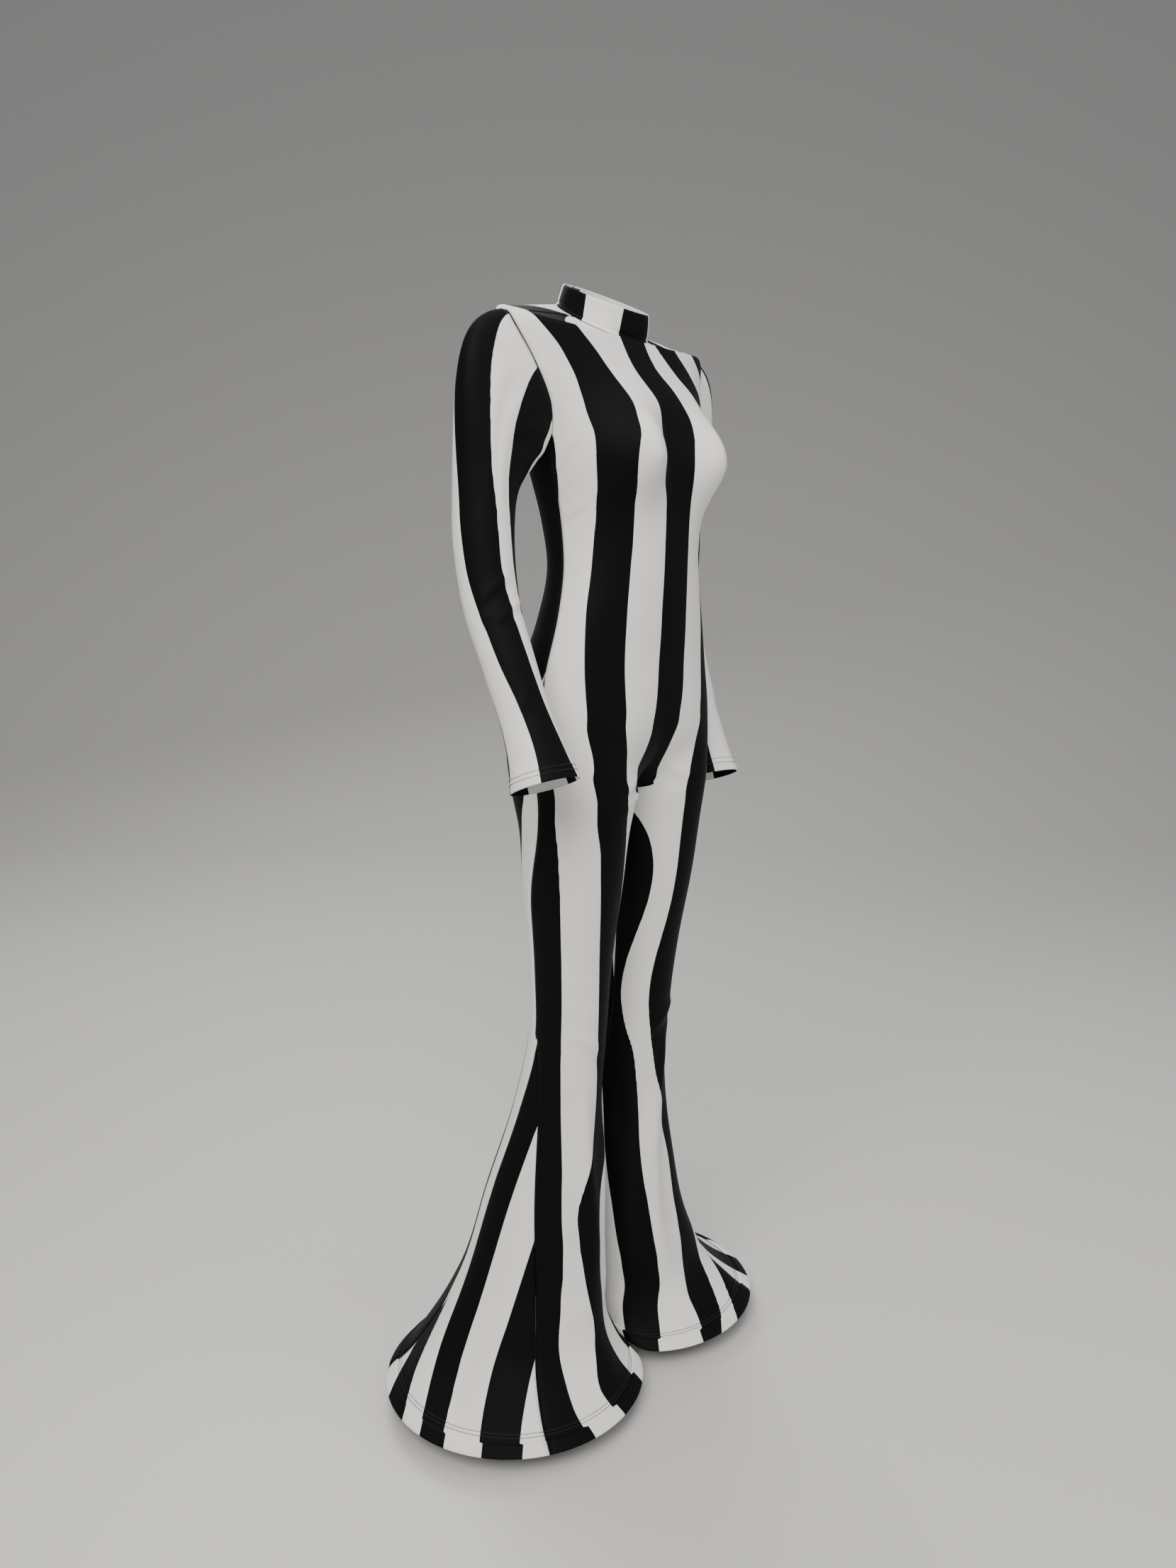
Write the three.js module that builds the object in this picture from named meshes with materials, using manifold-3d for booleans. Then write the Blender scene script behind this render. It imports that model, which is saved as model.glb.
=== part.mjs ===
// Striped stretch catsuit with a mock-turtle collar, long sleeves and bell-bottom legs.
// Every piece of cloth is a thin closed shell over one worn shape, made of level curves:
// a torso, two legs that join it at the crotch, and two arms that start at the armholes.
//
// Units are millimetres. X points to the wearer's left, -Y is the front and +Z is up.
// Heights are measured from the floor that the wearer stands on. The last lines drop the
// whole suit so that the origin is on the body's axis, level with the back of the neck seam.
import * as THREE from 'three';
import { mergeVertices } from 'three/addons/utils/BufferGeometryUtils.js';
import Module from 'manifold-3d';

const wasm = await Module();
wasm.setup();

// ---------------------------------------------------------------- driving dimensions

const seamGap = 0.3; // between the edges of two sewn pieces
const clothWall = 2.0; // solid thickness that stands for the suit's cloth
const collarWall = 1.2; // thickness of each of the collar's two layers
const layerGap = 0.3; // between two layers that lie on each other

const collarRise = 26; // from the back of the neck seam up to the back of the rim
const rimSlope = 0.46; // rise per millimetre backwards of the collar's rim
const rimHalfWidth = 58;
const rimHalfDepth = 57;

const crotchHeight = 885;
const forkFront = 165; // height over which the lower belly turns under, at the front
const forkBack = 75; // and the seat, at the back
const hipBlend = 105; // height over which the hips' outline becomes the thighs'
const thighGap = 3; // from the middle plane to the cloth between the legs
const thighSoftness = 14; // how gently the inner sides flatten against each other

const bustHeight = 1332;
const bustOffset = 78;
const bustWidth = 50;
const bustDepth = 58;
const breastboneHeight = 1405; // where the cloth spans the hollow above the bust
const breastboneDepth = 12;
const seatHeight = 965;
const seatOffset = 78;
const seatWidth = 62;
const seatDepth = 16;

const kneeHeight = 547; // top of the flare godets
const hemHeight = 30;
const hemRadius = 187;
const hemOffsetSide = 144; // middle of each bell's rim, from the middle plane
const hemOffsetBack = 62;
const hemLift = 0.3; // rise of the rim per millimetre that the inner side is pushed out
const thighSeamShift = 0.048; // share of a girth that the side seam lies behind the leg's side
const rimSeamShare = 0.341; // share of the rim from the inseam forward to the side seam
const godetSweep = 0.3; // share of the rim that a godet takes
const braidWidth = 18;
const braidWall = 1.2;
const braidStandoff = 1.5; // from the cloth's inner face, clear of its flats
const hemStitchRows = [23, 27.5]; // distance of each row of stitching above the rim

const armholeLow = 1362; // height of the underarm point
const armholeWidth = 0.085; // widest reach of the armhole each way, as a share of a half girth
const sleeveLength = 560; // from the armhole's middle to the cuff along the arm
const cuffStitchRows = [11, 18];
const threadWidth = 0.8;
const sleeveCapShare = 0.34; // share of the sleeve over which it turns from the armhole to a round tube
const threadStandoff = 0.9; // clears the flats between the columns of the cloth's faces

const zipArcRadius = 800; // the centre-back line is an arc in the middle plane
const zipArcCentre = { y: -698.9, z: 1346.8 };
const zipBottomHeight = 1140;
const zipOpening = 4.2; // from the middle plane to each panel's edge along the zip
const coilInner = 0.7;
const coilWidth = 2.1;
const coilDepth = 2.2;
const tapeWidth = 8;
const tapeWall = 0.6;
const tapeDepth = 3.6; // from the outer face of the cloth to the tape's outer face
const tapeCurveRadius = 60;
const sliderLength = 9;
const plateWall = 0.9;
const flangeWall = 0.7;
const runClearance = 0.3;
const pullLength = 24;
const pullWidth = 5;
const pullWall = 1.0;
const pullPinRadius = 0.5;
const stopLength = 2.2;

const torsoColumns = 10; // quads from the middle to the side, on the front and on the back
const legRows = 17;
const zipEdgeShare = 0.035; // share of a half girth in the narrow column beside the zip
const sleeveRows = 14;
const godetColumns = 5;

// ---------------------------------------------------------------- worn shape

// Torso levels, from the crotch to the neck. sideY is the level's side line, and tilt is how
// much the level rises towards the back.
const torsoLevels = [
  { name: 'crotch', z: 885, halfWidth: 154, front: -98, back: 112, sideY: 4, tilt: 0 },
  { name: 'low_hip', z: 935, halfWidth: 166, front: -104, back: 114, sideY: -2, tilt: 0 },
  { name: 'hip', z: 990, halfWidth: 168, front: -101, back: 108, sideY: -8, tilt: 0 },
  { name: 'high_hip', z: 1060, halfWidth: 156, front: -97, back: 92, sideY: -16, tilt: 0 },
  { name: 'low_waist', z: 1125, halfWidth: 138, front: -100, back: 70, sideY: -20, tilt: 0 },
  { name: 'waist', z: 1190, halfWidth: 123, front: -103, back: 59, sideY: -17, tilt: 0 },
  { name: 'rib', z: 1250, halfWidth: 123, front: -102, back: 72, sideY: -12, tilt: 0 },
  { name: 'bust', z: 1318, halfWidth: 137, front: -92, back: 90, sideY: -9, tilt: 0 },
  { name: 'underarm', z: 1372, halfWidth: 152, front: -79, back: 99, sideY: -7, tilt: 0 },
  { name: 'chest', z: 1440, halfWidth: 178, front: -64, back: 96, sideY: 4, tilt: 0.12 },
  { name: 'shoulder', z: 1494, halfWidth: 192, front: -51, back: 85, sideY: 14, tilt: 0.3 },
  { name: 'shoulder_slope', z: 1497, halfWidth: 150, front: -50, back: 81, sideY: 16, tilt: 0.42 },
  { name: 'neck_slope', z: 1500, halfWidth: 102, front: -43, back: 78, sideY: 18, tilt: 0.5 },
  { name: 'neck', z: 1502, halfWidth: 60, front: -37, back: 76, sideY: 20, tilt: 0.55 },
];

// Leg levels, from just above the crotch to the hem: the leg's middle and its radii.
const legLevels = [
  { name: 'fork', z: 990, x: 86, y: 6, outer: 82, inner: 86, depth: 104 },
  { name: 'crotch', z: 885, x: 84, y: 2, outer: 71, inner: 84, depth: 92 },
  { name: 'upper_thigh', z: 840, x: 84, y: -1, outer: 70, inner: 74, depth: 80 },
  { name: 'thigh', z: 760, x: 83, y: 3, outer: 67, inner: 68, depth: 72 },
  { name: 'above_knee', z: 640, x: 78, y: 11, outer: 59, inner: 58, depth: 59 },
  { name: 'knee', z: kneeHeight, x: 75, y: 18, outer: 55, inner: 55, depth: 56 },
  { name: 'calf', z: 430, x: 76, y: 37, outer: 63, inner: 62, depth: 65 },
  { name: 'flare', z: 300, x: 84, y: 56, outer: 84, inner: 82, depth: 88 },
  { name: 'bell', z: 160, x: 105, y: 67, outer: 109, inner: 107, depth: 113 },
  { name: 'trumpet', z: 85, x: 125, y: 73, outer: 136, inner: 135, depth: 141 },
  { name: 'trumpet_lip', z: 50, x: 138, y: 67, outer: 163, inner: 163, depth: 166 },
  {
    name: 'hem', z: hemHeight, x: hemOffsetSide, y: hemOffsetBack,
    outer: hemRadius, inner: hemRadius, depth: hemRadius,
  },
];

// The lines that the arms follow, as shares of the sleeve's length, and their radii. The
// right arm hangs forward and the left one beside the hip. x is measured outwards.
const rightArm = [
  { at: 0.0, x: 182, y: 22, z: 1425, radius: 48 },
  { at: 0.15, x: 207, y: 23, z: 1350, radius: 44 },
  { at: 0.35, x: 227, y: 23, z: 1240, radius: 39 },
  { at: 0.5, x: 232, y: 9, z: 1155, radius: 36 },
  { at: 0.7, x: 236, y: -28, z: 1067, radius: 33 },
  { at: 0.85, x: 237, y: -60, z: 994, radius: 33 },
  { at: 0.95, x: 238, y: -80, z: 947, radius: 39 },
  { at: 1.0, x: 239, y: -89, z: 924, radius: 44 },
];
const leftArm = [
  { at: 0.0, x: 178, y: 34, z: 1425, radius: 46 },
  { at: 0.15, x: 196, y: 52, z: 1350, radius: 43 },
  { at: 0.35, x: 220, y: 55, z: 1240, radius: 39 },
  { at: 0.5, x: 222, y: 55, z: 1155, radius: 36 },
  { at: 0.7, x: 217, y: 32, z: 1060, radius: 33 },
  { at: 0.85, x: 210, y: 1, z: 968, radius: 33 },
  { at: 0.95, x: 203, y: -20, z: 908, radius: 39 },
  { at: 1.0, x: 200, y: -30, z: 880, radius: 44 },
];

/** A smooth curve through several named values at increasing stations. */
class SmoothTable {
  constructor(stations, rows) {
    this.stations = stations;
    this.rows = rows;
    this.keys = Object.keys(rows[0]).filter((key) => typeof rows[0][key] === 'number');
  }

  slope(key, i) {
    const secant = (j) => (this.rows[j + 1][key] - this.rows[j][key])
      / (this.stations[j + 1] - this.stations[j]);
    const last = this.rows.length - 1;
    if (i === 0) return secant(0);
    if (i === last) return secant(last - 1);
    const before = this.stations[i] - this.stations[i - 1];
    const after = this.stations[i + 1] - this.stations[i];
    return (secant(i) * before + secant(i - 1) * after) / (before + after);
  }

  at(station) {
    const s = THREE.MathUtils.clamp(station, this.stations[0], this.stations.at(-1));
    let i = 0;
    while (i < this.stations.length - 2 && s > this.stations[i + 1]) i += 1;
    const span = this.stations[i + 1] - this.stations[i];
    const k = (s - this.stations[i]) / span;
    const h00 = (1 + 2 * k) * (1 - k) ** 2;
    const h10 = k * (1 - k) ** 2;
    const h01 = k * k * (3 - 2 * k);
    const h11 = k * k * (k - 1);
    const value = {};
    for (const key of this.keys) {
      value[key] = h00 * this.rows[i][key] + h10 * span * this.slope(key, i)
        + h01 * this.rows[i + 1][key] + h11 * span * this.slope(key, i + 1);
    }
    return value;
  }
}

/** Length along the torso's side from the crotch up to each level. */
function sideRuns(levels) {
  const runs = [0];
  for (let i = 1; i < levels.length; i += 1) {
    const step = Math.hypot(levels[i].halfWidth - levels[i - 1].halfWidth, levels[i].z - levels[i - 1].z);
    runs.push(runs[i - 1] + step);
  }
  return runs;
}

const torsoRuns = sideRuns(torsoLevels);
const torsoTable = new SmoothTable(torsoRuns, torsoLevels);
const legDrops = legLevels.map((level) => legLevels[0].z - level.z);
const legTable = new SmoothTable(legDrops, legLevels);
const armTables = [leftArm, rightArm].map((arm) => new SmoothTable(arm.map((s) => s.at), arm));
const neckRun = torsoRuns.at(-1);
const shoulderRun = torsoRuns[torsoLevels.findIndex((level) => level.name === 'shoulder')];

const { smoothstep, lerp, degToRad } = THREE.MathUtils;
const gaussian = (distance, width) => Math.exp(-((distance / width) ** 2));
const signedPower = (value, power) => Math.sign(value) * Math.abs(value) ** power;

/** The centre-back line's y at a height, on the arc that the zip runs along. */
function zipLineY(z) {
  return zipArcCentre.y + Math.sqrt(zipArcRadius ** 2 - (z - zipArcCentre.z) ** 2);
}

/** Torso point: share 0 is the centre front, 0.5 the side, 1 the centre back. */
function torsoPoint(share, run) {
  const level = torsoTable.at(run);
  const roundness = 2 / 2.25;
  const turn = Math.PI * (share - 0.5);
  const across = signedPower(Math.cos(turn), roundness);
  const along = signedPower(Math.sin(turn), roundness);
  const x = level.halfWidth * across;
  let y = level.sideY + (along < 0 ? level.sideY - level.front : level.back - level.sideY) * along;
  const facing = Math.sqrt(Math.abs(Math.sin(turn)));
  if (along < 0) {
    const bust = bustDepth * gaussian(x - bustOffset, bustWidth) * gaussian(level.z - bustHeight, level.z > bustHeight ? 72 : 55);
    const span = breastboneDepth * gaussian(x, bustWidth) * gaussian(level.z - breastboneHeight, 45);
    y -= facing * (bust + span);
  } else {
    y += facing * seatDepth * gaussian(x - seatOffset, seatWidth) * gaussian(level.z - seatHeight, 60);
  }
  const z = level.z + level.tilt * y;
  if (along > 0) {
    const zipFade = smoothstep(z, zipBottomHeight - 90, zipBottomHeight);
    const backZ = level.z + level.tilt * level.back;
    y += (zipLineY(backZ) - level.back) * gaussian(x, 48) * zipFade;
  }
  return new THREE.Vector3(x, y, z);
}

/** Leg point: share 0 is the inseam, 0.25 the front, 0.5 the outer side, 0.75 the back. */
function legPoint(share, z) {
  const level = legTable.at(legLevels[0].z - z);
  const turn = Math.PI * (2 * share - 1);
  const across = Math.cos(turn);
  const free = level.x + (across < 0 ? level.inner : level.outer) * across;
  const excess = free - thighGap;
  const flattened = z > crotchHeight ? Math.max(free, 0)
    : thighGap + (excess + Math.hypot(excess, thighSoftness)) / 2;
  const ease = smoothstep(crotchHeight - z, 0, 30);
  const x = lerp(Math.max(free, 0), flattened, ease);
  const y = level.y + level.depth * Math.sin(turn);
  const lift = hemLift * Math.max(x - free, 0) * smoothstep(300 - z, 0, 300);
  return new THREE.Vector3(x, y, z + lift);
}

/**
 * Point of the body's left half. Above the crotch the torso's levels bend round to the leg's:
 * as a quarter circle in the middle, and slowly at the hips.
 */
function bodyPoint(share, run) {
  if (run <= 0) return legPoint(share, crotchHeight + run);
  const torso = torsoPoint(share, run);
  const height = torsoTable.at(run).z;
  const rise = height - crotchHeight;
  if (rise >= forkFront) return torso;
  const inside = gaussian(Math.min(share, 1 - share), 0.14);
  const forkDepth = lerp(forkFront, forkBack, smoothstep(share, 0.4, 0.6));
  const turned = Math.sqrt(1 - (1 - Math.min(rise / forkDepth, 1)) ** 2);
  const weight = lerp(smoothstep(rise, 0, hipBlend), turned, inside);
  return legPoint(share, height).lerp(torso, weight);
}

/** Outward normal of the left half of the body, the same for every panel that meets there. */
function bodyNormal(share, run) {
  const nudge = 0.004;
  const climb = 1.5;
  const wrapped = (s) => {
    if (run < 0 || (s >= 0 && s <= 1)) return bodyPoint(s, run);
    const inside = bodyPoint(s < 0 ? -s : 2 - s, run);
    return inside.setX(-inside.x);
  };
  const around = wrapped(share + nudge).sub(wrapped(share - nudge));
  const above = bodyPoint(share, Math.min(run + climb, neckRun));
  const below = bodyPoint(share, run >= 0 ? Math.max(run - climb, 0) : run - climb);
  return around.cross(above.sub(below)).normalize();
}

/** Collar point: height 0 is the neck seam and 1 the rim. */
function collarPoint(share, height) {
  const base = torsoPoint(share, neckRun);
  const baseBack = torsoPoint(1, neckRun);
  const rimBackZ = baseBack.z + collarRise;
  const rimBackY = zipLineY(rimBackZ);
  const turn = Math.PI * (share - 0.5);
  const y = rimBackY - rimHalfDepth + rimHalfDepth * Math.sin(turn);
  const rim = new THREE.Vector3(rimHalfWidth * Math.cos(turn), y, rimBackZ - rimSlope * (rimBackY - y));
  const point = base.clone().lerp(rim, height);
  const arcY = zipLineY(lerp(baseBack.z, rimBackZ, height));
  const straightY = lerp(baseBack.y, rimBackY, height);
  if (share > 0.5) point.y += (arcY - straightY) * gaussian(point.x, 30);
  return point;
}

// ---------------------------------------------------------------- sheets and shells

/** A sheet is a list of points and of quads that index them, seen from outside. */
class Sheet {
  constructor() {
    this.points = [];
    this.given = [];
    this.quads = [];
  }

  /** Adds a point; a normal is given where the sheet's own faces don't show the whole surface. */
  addPoint(point, normal = null) {
    this.points.push(point);
    this.given.push(normal);
    return this.points.length - 1;
  }

  /** Adds rows of point numbers; flip turns the quads over. */
  addGrid(rows, flip = false) {
    for (let i = 0; i + 1 < rows.length; i += 1) {
      for (let j = 0; j + 1 < rows[i].length; j += 1) {
        const quad = [rows[i][j], rows[i][j + 1], rows[i + 1][j + 1], rows[i + 1][j]];
        this.quads.push(flip ? quad.reverse() : quad);
      }
    }
  }

  normals() {
    const sums = this.points.map(() => new THREE.Vector3());
    for (const [a, b, c, d] of this.quads) {
      const across = this.points[c].clone().sub(this.points[a]);
      const normal = across.cross(this.points[d].clone().sub(this.points[b]));
      for (const corner of new Set([a, b, c, d])) sums[corner].add(normal);
    }
    return sums.map((sum, i) => this.given[i] ?? sum.normalize());
  }

  /** A closed shell between the sheet moved out by `outer` and by `inner` (negative is inwards). */
  thicken(outer, inner) {
    const normals = this.normals();
    const shifted = (distance) => this.points.map((p, i) => p.clone().addScaledVector(normals[i], distance));
    const count = this.points.length;
    const vertices = [...shifted(outer), ...shifted(inner)];
    const triangles = [];
    const edges = new Map();
    const addFace = (loop, offset, reversed) => {
      const [a, b, c, d] = (reversed ? [...loop].reverse() : loop).map((k) => k + offset);
      if (a !== b && b !== c && a !== c) triangles.push([a, b, c]);
      if (a !== c && c !== d && a !== d) triangles.push([a, c, d]);
    };
    for (const quad of this.quads) {
      addFace(quad, 0, false);
      addFace(quad, count, true);
      quad.forEach((from, k) => {
        const to = quad[(k + 1) % 4];
        if (from === to) return;
        if (edges.has(`${to},${from}`)) edges.delete(`${to},${from}`);
        else edges.set(`${from},${to}`, [from, to]);
      });
    }
    for (const [from, to] of edges.values()) {
      triangles.push([from, from + count, to + count], [from, to + count, to]);
    }
    return triangleGeometry(vertices, triangles);
  }
}

function triangleGeometry(vertices, triangles) {
  const geometry = new THREE.BufferGeometry();
  geometry.setAttribute('position', new THREE.Float32BufferAttribute(vertices.flatMap((v) => v.toArray()), 3));
  geometry.setIndex(triangles.flat());
  geometry.computeVertexNormals();
  return geometry;
}

/** The same geometry on the wearer's right: mirrored in the middle plane and turned back. */
function mirrored(geometry) {
  const copy = geometry.clone();
  copy.scale(-1, 1, 1);
  const index = Array.from(copy.index.array);
  for (let i = 0; i < index.length; i += 3) [index[i], index[i + 1]] = [index[i + 1], index[i]];
  copy.setIndex(index);
  copy.computeVertexNormals();
  return copy;
}

const steps = (count, from, to) => Array.from({ length: count + 1 }, (_, i) => lerp(from, to, i / count));

// ---------------------------------------------------------------- seams between panels

const armholeBottomRun = torsoRuns[torsoLevels.findIndex((level) => level.name === 'bust')]
  + (armholeLow - bustHeight);
const halfGirth = 400; // turns a distance across a panel into a share of a half girth
const seamShare = seamGap / 2 / halfGirth;

/** How far an armhole's edge stands from the side line, as a share of a half girth. */
function armholeReach(run) {
  const up = (run - armholeBottomRun) / (shoulderRun - armholeBottomRun);
  if (up <= 0 || up >= 1) return 0;
  return armholeWidth * Math.sin(Math.PI * up) ** 0.6;
}

/** How far down from the knee to the rim a run is, from 0 to 1. */
function bellDrop(run) {
  return THREE.MathUtils.clamp((kneeHeight - crotchHeight - run) / (kneeHeight - hemHeight), 0, 1);
}

/** Share of the girth at the side seam: it turns forward round the bell below the knee. */
function sideSeamShare(run) {
  const knee = 0.5 + thighSeamShift * smoothstep(-run, 0, 160);
  return lerp(knee, rimSeamShare, bellDrop(run) ** 0.6);
}

/** Width of a godet as a share of the girth: nothing at the knee and godetSweep at the rim. */
function godetShare(run) {
  return godetSweep * bellDrop(run) ** 0.8;
}

/** The height on the bell whose cloth lies a distance above the rim, measured along the cloth. */
function bellHeight(share, distance) {
  const step = 0.25;
  let z = hemHeight;
  let walked = 0;
  let last = legPoint(share, z);
  while (walked < distance) {
    z += step;
    const next = legPoint(share, z);
    walked += next.distanceTo(last);
    last = next;
  }
  return z;
}

const legLength = crotchHeight - hemHeight;
const kneeRun = kneeHeight - crotchHeight;
const armholeRows = steps(9, armholeBottomRun, shoulderRun);
const upperRows = [...steps(3, shoulderRun, neckRun)].slice(1);
const forkRows = steps(7, 0, 1).map((k) => 85 * k ** 1.8);
const middleRows = steps(9, 85, armholeBottomRun);
const torsoRowsUp = [...forkRows, ...middleRows.slice(1), ...armholeRows.slice(1), ...upperRows];
const thighRows = steps(7, 0, kneeRun);
const stitchMiddle = (distance) => bellHeight(0.25, distance + threadWidth / 2);
const hemLines = [stitchMiddle(hemStitchRows[1]), stitchMiddle(hemStitchRows[0]), bellHeight(0.25, braidWidth)];
const bellRows = [
  ...steps(legRows - 7, 0, 1).map((k) => lerp(kneeHeight, hemLines[0] + 6, 1 - (1 - k) ** 1.3)),
  ...hemLines,
  hemHeight,
].map((height) => height - crotchHeight);
const legRowsDown = [...thighRows, ...bellRows.slice(1)];

// ---------------------------------------------------------------- cloth pieces

/** Shares across half of the back: even, with a narrow column beside the zip. */
function backShares(from) {
  return [...steps(torsoColumns - 1, from, 1 - zipEdgeShare), 1];
}

/** A row of points with their normals at some shares of a girth. */
function bodyRow(run, shares) {
  return shares.map((share) => ({
    point: bodyPoint(share, run),
    normal: bodyNormal(share, run),
  }));
}

/** Half of the front of the body at one run, from the middle or inseam to the side or armhole. */
function frontRow(run) {
  const edge = run >= 0 ? 0.5 - armholeReach(run) : sideSeamShare(run);
  return bodyRow(run, steps(torsoColumns, run < 0 ? seamShare : 0, edge - seamShare));
}

/** One piece from the neck to both hems: a torso sheet that divides at the crotch. */
function frontPanel() {
  const sheet = new Sheet();
  const place = ({ point, normal }, side) => sheet.addPoint(
    new THREE.Vector3(point.x * side, point.y, point.z),
    new THREE.Vector3(normal.x * side, normal.y, normal.z),
  );
  const torsoRows = torsoRowsUp.map((run) => {
    const half = frontRow(run);
    half[0].point.x = 0;
    if (run === 0) half[0].point.y -= seamGap;
    const left = half.map((entry) => place(entry, 1));
    const right = half.slice(1).map((entry) => place(entry, -1)).reverse();
    return [...right, ...left];
  });
  sheet.addGrid(torsoRows);
  const fork = torsoRows[0];
  for (const side of [1, -1]) {
    const top = side > 0 ? fork.slice(torsoColumns) : fork.slice(0, torsoColumns + 1).reverse();
    const below = legRowsDown.slice(1).map((run) => frontRow(run).map((entry) => place(entry, side)));
    sheet.addGrid([top, ...below], side > 0);
  }
  return sheet.thicken(0, -clothWall);
}

/** Left half of the back, from the side seam to the zip, with the back of the leg. */
function backPanel() {
  const sheet = new Sheet();
  const upper = [...torsoRowsUp].reverse().map((run) => {
    const row = bodyRow(run, backShares(0.5 + armholeReach(run) + seamShare));
    const middle = row.at(-1).point;
    const open = smoothstep(middle.z, zipBottomHeight - 30, zipBottomHeight - 12);
    middle.x = lerp(seamGap / 2, zipOpening, open);
    return row;
  });
  const lower = legRowsDown.slice(1).map((run) => {
    const start = sideSeamShare(run) + godetShare(run) + seamShare;
    return bodyRow(run, steps(torsoColumns, start, 1 - seamShare));
  });
  sheet.addGrid([...upper, ...lower].map((row) => row.map((e) => sheet.addPoint(e.point, e.normal))), true);
  return sheet.thicken(0, -clothWall);
}

/** Wedge let into the side seam below the knee. */
function flareGodet() {
  const sheet = new Sheet();
  const rows = bellRows.slice(1).map((run) => {
    const start = sideSeamShare(run);
    return bodyRow(run, steps(godetColumns, start + seamShare, start + godetShare(run) - seamShare));
  });
  sheet.addGrid(rows.map((row) => row.map((e) => sheet.addPoint(e.point, e.normal))), true);
  return sheet.thicken(0, -clothWall);
}

/** The armhole's loop: up the front edge, over the shoulder and down the back edge. */
function armholeLoop() {
  const front = armholeRows.map((run) => bodyPoint(0.5 - armholeReach(run), run));
  const back = armholeRows.slice(1, -1).map((run) => bodyPoint(0.5 + armholeReach(run), run));
  return [...front, ...back.reverse()];
}

/** Middle, direction and radius of the arm at a share of its length. */
function armStation(table, at) {
  const here = table.at(at);
  const step = 0.01;
  const ahead = table.at(Math.min(at + step, 1));
  const behind = table.at(Math.max(at - step, 0));
  const direction = new THREE.Vector3(ahead.x - behind.x, ahead.y - behind.y, ahead.z - behind.z).normalize();
  return { middle: new THREE.Vector3(here.x, here.y, here.z), direction, radius: here.radius };
}

/** Sleeve point for one point of the armhole loop, at a share of the arm's length. */
function sleevePoint(table, start, loopShare, at) {
  const ringPoint = (share) => {
    const { middle, direction, radius } = armStation(table, share);
    const sideways = new THREE.Vector3(0, 1, 0).cross(direction).normalize();
    const ahead = direction.clone().cross(sideways).normalize();
    const turn = 2 * Math.PI * loopShare;
    const offset = sideways.multiplyScalar(Math.cos(turn)).addScaledVector(ahead, -Math.sin(turn));
    return { point: middle.addScaledVector(offset, radius), direction };
  };
  if (at >= sleeveCapShare) return ringPoint(at).point;
  const end = ringPoint(sleeveCapShare);
  const reach = end.point.distanceTo(start);
  const upness = (1 - Math.cos(2 * Math.PI * loopShare)) / 2;
  const leave = new THREE.Vector3(lerp(0.35, 0.98, upness), 0, lerp(-0.93, -0.12, upness)).normalize();
  const curve = new THREE.CubicBezierCurve3(
    start,
    start.clone().addScaledVector(leave, reach * lerp(0.36, 0.42, upness)),
    end.point.clone().addScaledVector(end.direction, -reach * 0.4),
    end.point,
  );
  return curve.getPoint(at / sleeveCapShare);
}

const armLoop = armholeLoop();
const cuffLines = [...cuffStitchRows].reverse().map((row) => 1 - (row + threadWidth / 2) / sleeveLength);
const sleeveStart = 0.0012; // leaves the seam's gap at the armhole
const sleeveStations = [...steps(sleeveRows, sleeveStart, cuffLines[0] - 0.02), ...cuffLines, 1];

/** A tube from the armhole to the cuff. */
function sleeve(table) {
  const sheet = new Sheet();
  const count = armLoop.length;
  const rows = sleeveStations.map((at) => {
    const row = armLoop.map((start, k) => sheet.addPoint(sleevePoint(table, start, k / count, at)));
    return [...row, row[0]];
  });
  sheet.addGrid(rows, true);
  return sheet.thicken(0, -clothWall);
}

/** One of the collar's two layers, open at the centre back. */
function collarLayer(outer, inner) {
  const sheet = new Sheet();
  const shares = [...steps(torsoColumns, 0, 0.5), ...backShares(0.5).slice(1)];
  const bottom = seamGap / collarRise;
  const rows = steps(3, bottom, 1).map((height) => {
    const half = shares.map((share) => collarPoint(share, height));
    half.at(-1).x = zipOpening;
    const left = half.map((point) => sheet.addPoint(point));
    const right = half.slice(1).map((p) => sheet.addPoint(new THREE.Vector3(-p.x, p.y, p.z))).reverse();
    return [...right, ...left];
  });
  sheet.addGrid(rows);
  return sheet.thicken(outer, inner);
}

// ---------------------------------------------------------------- braid and stitching

/** Shares of the rim at which the panels round a bell have their columns. */
function rimShares() {
  const run = hemHeight - crotchHeight;
  const seam = sideSeamShare(run);
  const far = seam + godetShare(run);
  return [
    ...steps(torsoColumns, 0, seam).slice(0, -1),
    ...steps(godetColumns, seam, far).slice(0, -1),
    ...steps(torsoColumns, far, 1).slice(0, -1),
  ];
}

/** A closed ring of sheet between two heights on a bell. */
function bellRing(high, low, outer, inner) {
  const sheet = new Sheet();
  const rows = [high, low].map((z) => {
    const row = rimShares().map((share) => sheet.addPoint(legPoint(share, z), bodyNormal(share, z - crotchHeight)));
    return [...row, row[0]];
  });
  sheet.addGrid(rows, true);
  return sheet.thicken(outer, inner);
}

const threadFaces = [threadStandoff + threadWidth, threadStandoff];

/** A row of stitching round a bell, lying on the cloth. */
function hemThread(distance) {
  const high = bellHeight(0.25, distance + threadWidth);
  return bellRing(high, bellHeight(0.25, distance), ...threadFaces);
}

/** Braid inside the fold of a hem. */
function hemBraid() {
  const outer = -clothWall - braidStandoff;
  return bellRing(bellHeight(0.25, braidWidth), bellHeight(0.25, 1), outer, outer - braidWall);
}

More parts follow.
